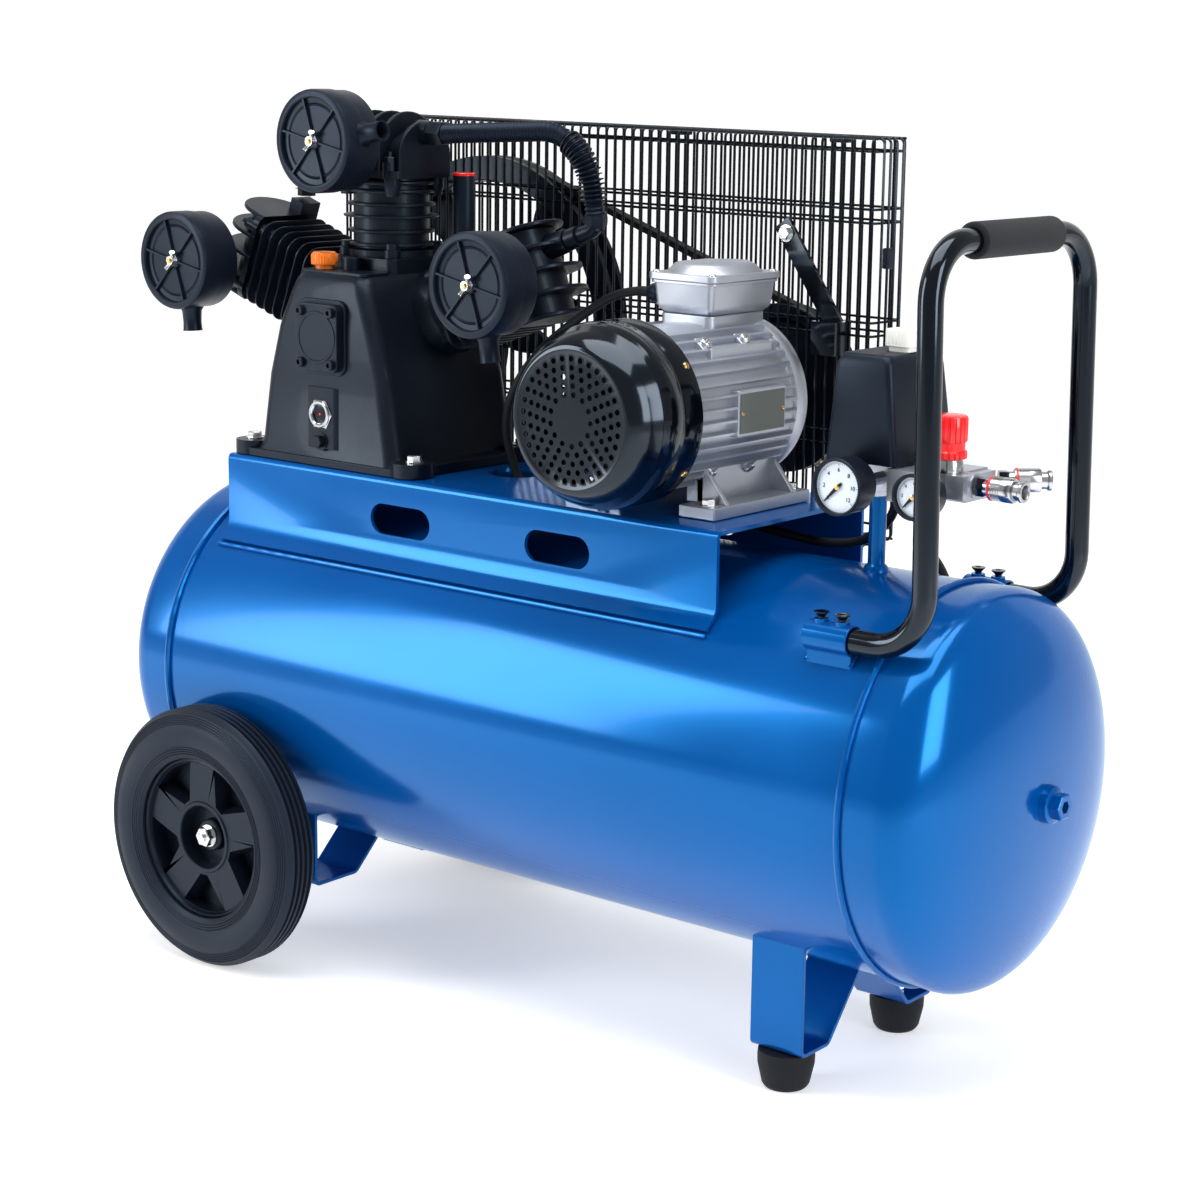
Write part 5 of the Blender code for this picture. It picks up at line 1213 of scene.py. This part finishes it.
def flywheel():
    keep("crankshaft", STEEL)
    outer, groove = FLYWHEEL_R, FLYWHEEL_R - GROOVE
    place = along_y(PUMP_X, CRANK_Z)
    bm = bmesh.new()
    profile = [(outer - 0.0005, -0.013), (outer, -0.0125), (outer, -0.0068), (groove, -0.0045),
        (groove, 0.0045), (outer, 0.0068), (outer, 0.0125), (outer - 0.0005, 0.013), (0.15, 0.013),
        (0.149, 0.012), (0.149, -0.012), (0.15, -0.013)]
    add_turned(bm, [(r, BELT_Y + y) for r, y in profile], place, 160, loop=True)
    boss = [(0.0144, -0.018), (0.028, -0.018), (0.03, -0.0165), (0.0315, -0.006), (0.0315, 0.006),
        (0.03, 0.0145), (0.0285, 0.016), (0.0144, 0.016)]
    add_turned(bm, [(r, BELT_Y + y) for r, y in boss], place, 56, loop=True)
    for k in range(5):
        add_spoke(bm, math.radians(72 * k + 18))
    piece("flywheel_casting", bm, CAST, body="crank", nodes=("flywheel",))


# ---------------------------------------------------------------- drive
def belt():
    big, small = FLYWHEEL_R - GROOVE + 0.0018, PULLEY_R - GROOVE + 0.0018
    start, end = Vector((PUMP_X, CRANK_Z)), Vector((MOTOR.x, MOTOR.z))
    line = end - start
    lean = math.atan2(line.y, line.x)
    spread = math.acos((big - small) / line.length)
    rings = []
    for centre, radius, first, last, steps in ((start, big, spread, 2 * math.pi - spread, 110),
            (end, small, -spread, spread, 60)):
        for i in range(steps + 1):
            a = lean + first + (last - first) * i / steps
            ring = []
            for extra, y in ((0, -0.0044), (0, 0.0044), (0.0066, 0.0062), (0.0072, 0.0056),
                    (0.0072, -0.0056), (0.0066, -0.0062)):
                reach = radius + extra
                ring.append((centre.x + reach * math.cos(a), BELT_Y + y, centre.y + reach * math.sin(a)))
            rings.append(ring)
    bm = bmesh.new()
    skin(bm, rings, loop=True)
    piece("v_belt", bm, RUBBER, nodes=("drive_belt",))


def pulley():
    keep("motor_shaft", STEEL)
    keep("motor_fan", PLASTIC)
    outer, groove = PULLEY_R, PULLEY_R - GROOVE
    profile = [(0.0124, -0.018), (0.023, -0.018), (0.024, -0.017), (0.0275, -0.008), (0.065, -0.005),
        (0.07, -0.0105), (outer - 0.0008, -0.011), (outer, -0.01), (outer, -0.0068), (groove, -0.0045),
        (groove, 0.0045), (outer, 0.0068), (outer, 0.01), (outer - 0.0008, 0.011), (0.07, 0.0105),
        (0.065, 0.005), (0.0275, 0.008), (0.024, 0.015), (0.023, 0.016), (0.0124, 0.016)]
    bm = bmesh.new()
    add_turned(bm, [(r, BELT_Y + y) for r, y in profile], along_y(MOTOR.x, MOTOR.z), 96, loop=True)
    piece("pulley_casting", bm, CAST, body="motor_rotor", nodes=("motor_pulley",))


def motor_shell():
    bm = bmesh.new()
    place = along_y(MOTOR.x, MOTOR.z)
    add_turned(bm, [(0.0126, -0.096), (0.08, -0.096), (0.08, -0.09), (0.0768, -0.088), (0.0768, 0.056),
        (0.08, 0.058), (0.0812, 0.062), (0.0812, 0.068), (0.079, 0.076), (0.06, 0.0885), (0.03, 0.089),
        (0.027, 0.087), (0.0126, 0.087)], place, 96, loop=True)
    for k in range(44):
        a = 2 * math.pi * (k + 0.5) / 44
        away = abs(math.degrees(math.atan2(math.cos(a), math.sin(a))))
        if away < 27 or away > 146:
            continue
        fin = shift(MOTOR.x, 0, MOTOR.z) @ Matrix.Rotation(-a, 4, "Y")
        rings = []
        for y, r in ((-0.0955, 0.0835), (0.052, 0.0835), (0.06, 0.079)):
            ring = ((0.0755, y, -0.002), (r, y, -0.0011), (r, y, 0.0011), (0.0755, y, 0.002))
            rings.append([fin @ Vector(p) for p in ring])
        skin(bm, rings)
    piece("motor_shell", bm, ALLOY, nodes=("motor_housing",))


def motor_castings():
    """Feet with their webs, the seat of the terminal box, bolt pads and the nameplate pad."""
    bm = bmesh.new()
    for side in (-1, 1):
        inner, outer = sorted((MOTOR.x + side * 0.048, MOTOR.x + side * 0.089))
        add_box(bm, (inner, -0.082, 0.5124), (outer, 0.07, 0.524))
        inner, outer = sorted((MOTOR.x + side * 0.04, MOTOR.x + side * 0.06))
        add_box(bm, (inner, -0.06, 0.523), (outer, 0.052, 0.564))
        for y in (-0.06, 0.044):
            outline = [(0.052, 0.5235), (0.087, 0.5235), (0.058, 0.56), (0.05, 0.56)]
            turn = web_plane(side, MOTOR.x, y)
            add_prism(bm, outline, 0.0, 0.006, turn)
    low, high = (MOTOR.x - 0.031, -0.016), (MOTOR.x + 0.031, 0.072)
    add_prism(bm, rounded_rectangle(low, high, 0.008, 4), 0.67, 0.6902)
    for side in (-1, 1):
        low, high = sorted((MOTOR.x + side * 0.02, MOTOR.x + side * 0.062))
        add_box(bm, (low, -0.055, 0.65), (high, 0.04, 0.6665))
    for y in (-0.062, -0.002):
        for tilt in PAD_TILTS:
            spot = shift(MOTOR.x, 0, MOTOR.z) @ Matrix.Rotation(-math.radians(tilt), 4, "Y")
            add_box(bm, (0.066, y, -0.0085), (0.083, y + 0.017, 0.0085), spot)
    spot = shift(MOTOR.x, 0, MOTOR.z)
    add_box(bm, (0.07, -0.041, -0.0215), (0.0842, 0.033, 0.0215), spot)
    piece("motor_castings", bm, ALLOY, bevel=0.0012)


def motor_bolts():
    bm = bmesh.new()
    for y in (-0.0535, 0.0065):
        for tilt in PAD_TILTS:
            way = Vector((math.cos(math.radians(tilt)), 0, math.sin(math.radians(tilt))))
            origin = Vector((MOTOR.x, y, MOTOR.z)) + way * 0.0828
            add_turned(bm, [(0, 0), (0.0056, 0), (0.0056, 0.0035), (0.0048, 0.0042), (0.0028, 0.0042),
                (0.0028, 0.0022), (0, 0.0022)], pointing(origin, way), 24)
    for side in (-1, 1):
        for y in (-0.07, 0.058):
            add_hex(bm, (MOTOR.x + side * 0.074, y, 0.5238), (0, 0, 1), 0.0066, 0.0052)
    piece("motor_bolts", bm, ZINC)


def nameplate():
    spot = shift(MOTOR.x, 0, MOTOR.z)
    bm = bmesh.new()
    add_box(bm, (0.084, -0.0385, -0.0185), (0.085, 0.0305, 0.0185), spot)
    piece("blank_nameplate", bm, PLATE, bevel=0.0004)
    bm = bmesh.new()
    for y in (-0.0355, 0.0275):
        add_screw(bm, (MOTOR.x + 0.0849, y, MOTOR.z), (1, 0, 0), 0.002, 0.001)
    piece("nameplate_rivets", bm, BRASS)


def fan_cover():
    front, rear, r = FAN_FRONT, FAN_REAR, FAN_R
    profile = [(0, front + 0.0005), (0.0605, front + 0.0005), (0.0625, front), (0.0665, front),
        (0.0685, front + 0.0012), (0.0745, front + 0.008), (0.0795, front + 0.017), (0.083, front + 0.029),
        (0.0838, front + 0.03), (0.0842, front + 0.0345), (0.0851, front + 0.036), (0.086, front + 0.042),
        (0.086, front + 0.056), (0.0853, front + 0.057), (0.0853, front + 0.06), (r, front + 0.061),
        (r, rear), (0.0845, rear), (0.0845, front + 0.042), (0.0815, front + 0.03), (0.067, front + 0.0022),
        (0, front + 0.0022)]
    bm = bmesh.new()
    add_turned(bm, profile, along_y(MOTOR.x, MOTOR.z), 128)
    holes = bmesh.new()
    face = pointing((MOTOR.x, 0, MOTOR.z), (0, -1, 0))
    for radius, count in ((0.0235, 13), (0.0315, 18), (0.0395, 23), (0.0475, 28), (0.0555, 33)):
        for k in range(count):
            a = 2 * math.pi * (k + radius * 40) / count
            spot = face @ Matrix.Translation((radius * math.cos(a), radius * math.sin(a), 0))
            add_turned(holes, [(0, 0.17), (0.0029, 0.17), (0.0029, 0.19), (0, 0.19)], spot, 6)
    piece("fan_cover", bm, GLOSS, nodes=("motor_fan_cover",), cutters=(holes,))


def cover_screws():
    bm = bmesh.new()
    for tilt in (35, 145, 215, 325):
        way = Vector((math.cos(math.radians(tilt)), 0, math.sin(math.radians(tilt))))
        add_screw(bm, Vector((MOTOR.x, -0.104, MOTOR.z)) + way * 0.0858, way, 0.0036, 0.0022)
    piece("cover_screws", bm, BRASS)


def terminal_case():
    bm = bmesh.new()
    rings = []
    for z, grow in ((0.6905, -0.0055), (0.695, -0.001), (0.7, 0.0), (0.7215, 0.002)):
        outline = rounded_rectangle((MOTOR.x - 0.034 - grow, -0.019 - grow),
            (MOTOR.x + 0.034 + grow, 0.079 + grow), 0.006, 5)
        rings.append([(x, y, z) for x, y in outline])
    skin(bm, rings)
    low = rounded_rectangle((MOTOR.x - 0.0385, -0.0235), (MOTOR.x + 0.0385, 0.0835), 0.008, 5)
    add_prism(bm, low, 0.7188, 0.7216)
    add_box(bm, (MOTOR.x - 0.0385, -0.01, 0.6965), (MOTOR.x - 0.033, 0.01, 0.7165))
    piece("terminal_case", bm, ALLOY, nodes=("terminal_box",), bevel=0.0008)


def terminal_cap():
    bm = bmesh.new()
    add_prism(bm, rounded_rectangle((MOTOR.x - 0.04, -0.025), (MOTOR.x + 0.04, 0.085), 0.008, 5), 0.7219,
        0.7285)
    rings = []
    for z, inset in ((0.728, 0.005), (0.736, 0.011), (0.7375, 0.0135)):
        x0, x1, y0, y1 = MOTOR.x - 0.04 + inset, MOTOR.x + 0.04 - inset, -0.025 + inset, 0.085 - inset
        c = 0.019
        outline = [(x0 + c, y0), (x1 - c, y0), (x1, y0 + c), (x1, y1 - c), (x1 - c, y1), (x0 + c, y1),
            (x0, y1 - c), (x0, y0 + c)]
        rings.append([(x, y, z) for x, y in outline])
    skin(bm, rings)
    piece("terminal_cap", bm, ALLOY, nodes=("terminal_box_lid",), bevel=0.0009)


def terminal_screws():
    bm = bmesh.new()
    for sx in (-1, 1):
        for y in (-0.0175, 0.0775):
            add_screw(bm, (MOTOR.x + sx * 0.033, y, 0.7284), (0, 0, 1), 0.0036, 0.002)
    piece("terminal_screws", bm, ZINC)


def terminal_gland():
    bm = bmesh.new()
    place = pointing((MOTOR.x - 0.034, 0, 0.7065), (-1, 0, 0))
    add_rod(bm, 0.0098, 0.003, 0.0095, place, 6)
    add_turned(bm, [(0, 0.009), (0.009, 0.009), (0.0088, 0.0165), (0.0068, 0.0198), (0.0047, 0.02),
        (0.0047, 0.015), (0, 0.015)], place, 28)
    piece("terminal_gland", bm, PLASTIC)


# ---------------------------------------------------------------- belt guard
def loop_of(low, high, radius, to_point, steps=4):
    return [Vector(to_point(a, b)) for a, b in rounded_rectangle(low, high, radius, steps)]


def wire_span(axis):
    """Centres of the outermost wires along an axis."""
    return GUARD_LOW[axis] + GUARD_WIRE, GUARD_HIGH[axis] - GUARD_WIRE


def guard_hoops():
    (x0, x1), (y0, y1), (z0, z1) = (wire_span(axis) for axis in range(3))
    count = 61
    bm = bmesh.new()
    for k in range(count):
        x = x0 + 0.006 + (x1 - x0 - 0.012) * k / (count - 1)
        add_tube(bm, loop_of((y0, z0), (y1, z1), 0.005, lambda a, b: (x, a, b), 3), GUARD_WIRE, 6, loop=True)
    piece("guard_hoops", bm, WIRE, nodes=("belt_guard_front", "belt_guard_back", "belt_guard_rim"))


def guard_ties():
    """Wires that tie the hoops: level rings, upright loops and bars along the corners."""
    (x0, x1), (y0, y1), (z0, z1) = (wire_span(axis) for axis in range(3))
    bm = bmesh.new()
    inner = 2 * GUARD_WIRE
    heights = (z0 + 0.012, 0.56, 0.573, 0.668, 0.681, 0.776, 0.789, z1 - 0.012)
    for z in heights:
        ring = loop_of((x0 + inner, y0 + inner), (x1 - inner, y1 - inner), 0.004, lambda a, b: (a, b, z), 3)
        add_tube(bm, ring, GUARD_WIRE, 6, loop=True)
    for k in range(1, 5):
        y = y0 + (y1 - y0) * k / 5
        hoop = loop_of((x0, z0), (x1, z1), 0.005, lambda a, b: (a, y, b), 3)
        add_tube(bm, hoop, GUARD_WIRE, 6, loop=True)
    for z in (z0, z1):
        for y in (y0 + inner, y1 - inner):
            add_tube(bm, [(x0 + 0.003, y, z), (x1 - 0.003, y, z)], GUARD_WIRE, 6)
    piece("guard_ties", bm, WIRE)


def guard_clips():
    x1, z1 = wire_span(0)[1], wire_span(2)[1]
    y0, y1 = wire_span(1)
    bm = bmesh.new()
    middle = (y0 + y1) / 2
    for x in (-0.41, -0.22, -0.02, 0.175):
        add_box(bm, (x - 0.01, middle - 0.006, z1 - 0.006), (x + 0.01, middle + 0.006, z1 + 0.0013))
    for z in (0.555, 0.742):
        add_box(bm, (x1 - 0.006, middle - 0.006, z - 0.01), (x1 + 0.0013, middle + 0.006, z + 0.01))
    piece("guard_clips", bm, PLASTIC, bevel=0.0015)


def strut():
    keep("guard_strut", GLOSS, 0.0008)
    bm = bmesh.new()
    add_hex(bm, (0.1377, 0.1176, 0.7618), (0, -1, 0), 0.0068, 0.005)
    piece("strut_bolt", bm, ZINC)


# ---------------------------------------------------------------- pressure switch group
def switch_cover():
    bm = bmesh.new()
    rings = []
    for z, left, right, y, r in ((0.5785, 0.3055, 0.3785, 0.0492, 0.004),
            (0.58, 0.3047, 0.3793, 0.05, 0.005), (0.662, 0.3103, 0.3694, 0.0462, 0.006),
            (0.6665, 0.311, 0.3686, 0.0455, 0.006), (0.672, 0.313, 0.3666, 0.0436, 0.007),
            (0.6745, 0.3152, 0.3644, 0.0414, 0.007), (0.675, 0.318, 0.3616, 0.0386, 0.006)):
        outline = rounded_rectangle((left, -y), (right, y), r, 6)
        rings.append([(a, b, z) for a, b in outline])
    skin(bm, rings)
    well = bmesh.new()
    add_prism(well, rounded_rectangle((0.3395, -0.01), (0.3645, 0.01), 0.004, 5), 0.6704, 0.679)
    piece("switch_cover", bm, PLASTIC, nodes=("pressure_switch",), cutters=[well])


def knob_cap():
    """The knob with its stem and grip ribs."""
    bm = bmesh.new()
    add_prism(bm, rounded_rectangle((0.341, -0.0085), (0.363, 0.0085), 0.004, 5), 0.6747, 0.68)
    add_prism(bm, rounded_rectangle((0.338, -0.011), (0.366, 0.011), 0.005, 7), 0.6796, 0.695)
    for k in range(5):
        x = 0.3445 + 0.0038 * k
        add_box(bm, (x - 0.0008, -0.0113, 0.6815), (x + 0.0008, 0.0113, 0.693))
    piece("knob_cap", bm, WHITE, body="switch_knob", nodes=("switch_knob",), bevel=0.0011)


def riser_nut():
    bm = bmesh.new()
    add_turned(bm, [(0, 0.5495), (0.0112, 0.5495), (0.0118, 0.55), (0.0118, 0.543), (0.0108, 0.542),
        (0, 0.542)], shift(RISER_X, 0), 6)
    piece("riser_nut", bm, ALLOY)


def relief_valve():
    bm = bmesh.new()
    place = pointing((0.3135, -0.01, 0.564), (-1, 0, 0))
    add_rod(bm, 0.0062, 0, 0.005, place, 24)
    add_rod(bm, 0.0088, 0.004, 0.011, place, 6)
    profile = [(0, 0.01), (0.0078, 0.01)]
    for k in range(7):
        profile += [(0.0085, 0.0115 + 0.0026 * k), (0.0085, 0.013 + 0.0026 * k),
            (0.0078, 0.0135 + 0.0026 * k)]
    profile += [(0.0074, 0.0315), (0.0055, 0.032), (0.0055, 0.0375), (0, 0.0375)]
    add_turned(bm, profile, place, 32)
    ring = [place @ Vector((0.0062 * math.cos(a), 0,
        0.0415 + 0.0062 * math.sin(a))) for a in [2 * math.pi * i / 28 for i in range(28)]]
    add_tube(bm, [p + Vector((0.006, 0, 0)) for p in ring], 0.0007, 8, loop=True)
    piece("relief_valve", bm, BRASS, nodes=("safety_valve",))


def numeral(bm, text, place, size):
    """A dial number, turned into mesh faces in a placement's XY plane."""
    data = bpy.data.curves.new("numeral", "FONT")
    data.body = text
    data.size = size
    data.align_x = "CENTER"
    data.align_y = "CENTER"
    data.extrude = 0.0001
    made = bpy.data.objects.new("numeral", data)
    bpy.context.scene.collection.objects.link(made)
    bpy.context.view_layer.update()
    mesh = bpy.data.meshes.new_from_object(made.evaluated_get(bpy.context.evaluated_depsgraph_get()))
    mesh.transform(place)
    bm.from_mesh(mesh)
    bpy.data.objects.remove(made, do_unlink=True)


def gauge_axis(which):
    """A gauge's axis, pointing out of its dial, with its radius and the y of its face."""
    x, z, r, face = GAUGES[which]
    return pointing((x, 0, z), (0, -1, 0)), r, face


def gauge_case(which):
    out, r, face = gauge_axis(which)
    bm = bmesh.new()
    profile = [(0, -face - 0.03), (r - 0.006, -face - 0.03), (r - 0.002, -face - 0.0285),
        (r - 0.0008, -face - 0.026), (r - 0.0008, -face - 0.006), (r, -face - 0.005), (r, -face - 0.001),
        (r - 0.0008, -face), (r - 0.0024, -face), (r - 0.003, -face - 0.001), (r - 0.003, -face - 0.005),
        (0, -face - 0.005)]
    add_turned(bm, profile, out, 72)
    piece("gauge_%s_case" % which, bm, PLASTIC, nodes=("pressure_gauge_" + which,))


def gauge_dial(which):
    out, r, face = gauge_axis(which)
    bm = bmesh.new()
    add_turned(bm, [(0, -face - 0.0055), (r - 0.0031, -face - 0.0055), (r - 0.0031, -face - 0.0048),
        (0, -face - 0.0046)], out, 72)
    piece("gauge_%s_dial" % which, bm, DIAL)


def gauge_scale(which):
    """Ticks and even numbers over three quarters of a turn."""
    x, z, r, face = GAUGES[which]
    upright = Matrix(((1, 0, 0, x), (0, 0, -1, face + 0.0044), (0, 1, 0, z), (0, 0, 0, 1)))
    bm = bmesh.new()
    for k in range(DIAL_TICKS + 1):
        a = math.radians(DIAL_START - DIAL_SWEEP * k / DIAL_TICKS)
        long = 0.0026 if k % 8 == 0 else 0.0013
        tick = upright @ Matrix.Rotation(a, 4, "Z")
        reach = r - 0.0045
        add_box(bm, (reach - long, -0.00015, 0), (reach, 0.00015, 0.0001), tick)
    for k in range(DIAL_NUMBERS + 1):
        a = math.radians(DIAL_START - DIAL_SWEEP * k / DIAL_NUMBERS)
        spot = (r * 0.58 * math.cos(a), r * 0.58 * math.sin(a), 0)
        numeral(bm, str(2 * k), upright @ Matrix.Translation(spot), r * 0.2)
    piece("gauge_%s_scale" % which, bm, GLOSS)


def needle_cap(which):
    out, _, face = gauge_axis(which)
    bm = bmesh.new()
    add_turned(bm, [(0, -face - 0.004), (0.0024, -face - 0.004), (0.0024, -face - 0.0018),
        (0, -face - 0.0012)], out, 24)
    piece("needle_%s_cap" % which, bm, BRASS, body="needle_" + which)


def regulator():
    bm = bmesh.new()
    place = shift(REGULATOR.x, REGULATOR.y)
    outline = []
    for k in range(20):
        for part, radius in ((0.0, 0.0165), (0.5, 0.0165), (0.65, 0.0153), (0.85, 0.0153)):
            a = 2 * math.pi * (k + part) / 20
            outline.append((radius * math.cos(a), radius * math.sin(a)))
    skirt = ((0.95, 0.5889), (1.0, 0.5896), (1.0, 0.595), (0.93, 0.5962))
    grip = ((0.94, 0.6035), (1.0, 0.605), (1.0, 0.6245), (0.95, 0.6262), (0.85, 0.627))
    for steps in (skirt, grip):
        skin(bm, [[place @ Vector((x * f, y * f, z)) for x, y in outline] for f, z in steps])
    add_rod(bm, 0.0146, 0.594, 0.605, place, 40)
    piece("regulator_cap", bm, RED, body="regulator_knob", nodes=("regulator_knob",))
    bm = bmesh.new()
    add_turned(bm, [(0, 0.577), (0.0136, 0.577), (0.0136, 0.5855), (0.0126, 0.5884), (0, 0.5884)], place, 36)
    piece("regulator_neck", bm, CHROME)


def coupler_place(which):
    start, turn = COUPLERS[which]
    return pointing(start, (math.cos(turn), math.sin(turn), 0))


def coupler(which):
    """The fixed socket with its nut and the red mark that rides on the collar."""
    place = coupler_place(which)
    bm = bmesh.new()
    add_turned(bm, [(0, 0.0022), (0.0085, 0.0022), (0.0092, 0.003), (0.0092, 0.0105), (0.0085, 0.0115),
        (0, 0.0115)], place, 6)
    piece("coupler_%s_nut" % which, bm, GLOSS)
    bm = bmesh.new()
    add_turned(bm, [(0.0105, 0.0172), (0.0112, 0.0172), (0.0112, 0.0192), (0.0105, 0.0192)], place, 40,
        loop=True)
    piece("collar_%s_mark" % which, bm, RED, body="collar_" + which)
    bm = bmesh.new()
    add_turned(bm, [(0.004, 0.011), (0.0078, 0.011), (0.008, 0.012), (0.008, 0.0455), (0.0094, 0.047),
        (0.0094, 0.049), (0.0086, 0.05), (0.0064, 0.05), (0.0058, 0.0485), (0.0058, 0.03), (0.004, 0.03)],
        place, 40, loop=True)
    piece("coupler_%s_body" % which, bm, CHROME, nodes=("coupler_" + which,))


def collar(which):
    place = coupler_place(which)
    bm = bmesh.new()
    profile = [(0.0083, 0.016), (0.0104, 0.016), (0.011, 0.0168)]
    for k in range(6):
        z = 0.02 + 0.0016 * k
        profile += [(0.011, z), (0.0103, z + 0.0004), (0.0103, z + 0.0008), (0.011, z + 0.0012)]
    profile += [(0.011, 0.0385), (0.0102, 0.04), (0.0083, 0.04)]
    add_turned(bm, profile, place, 48, loop=True)
    piece("collar_%s_sleeve" % which, bm, CHROME, body="collar_" + which, nodes=("coupler_collar_" + which,))


def build():
    add_camera()
    add_studio()
    add_cables()
    cable_glands()
    tank_shell()
    weld_beads()
    handle_sleeves()
    sleeve_screws()
    saddle()
    feet()
    keep("drain_valve_screw", BRASS, 0.0005)
    wheels()
    handle()
    crankcase_shell()
    crankcase_flanges()
    base_bolts()
    bearing_plate()
    cover_bolts()
    sight_glass()
    oil_cap()
    for which in BANKS:
        cylinder(which)
        head(which)
        filter_drum(which)
        filter_snout(which)
        wing_nut(which)
    discharge_tube()
    intercooler_tube()
    breather_tube()
    flywheel()
    belt()
    pulley()
    motor_shell()
    motor_castings()
    motor_bolts()
    nameplate()
    fan_cover()
    cover_screws()
    terminal_case()
    terminal_cap()
    terminal_screws()
    terminal_gland()
    guard_hoops()
    guard_ties()
    guard_clips()
    strut()
    switch_cover()
    knob_cap()
    keep("manifold", ALLOY, 0.0009)
    riser_nut()
    relief_valve()
    for which in GAUGES:
        keep("needle_" + which, GLOSS)
        gauge_case(which)
        gauge_dial(which)
        gauge_scale(which)
        needle_cap(which)
    regulator()
    for which in COUPLERS:
        coupler(which)
        collar(which)


build()
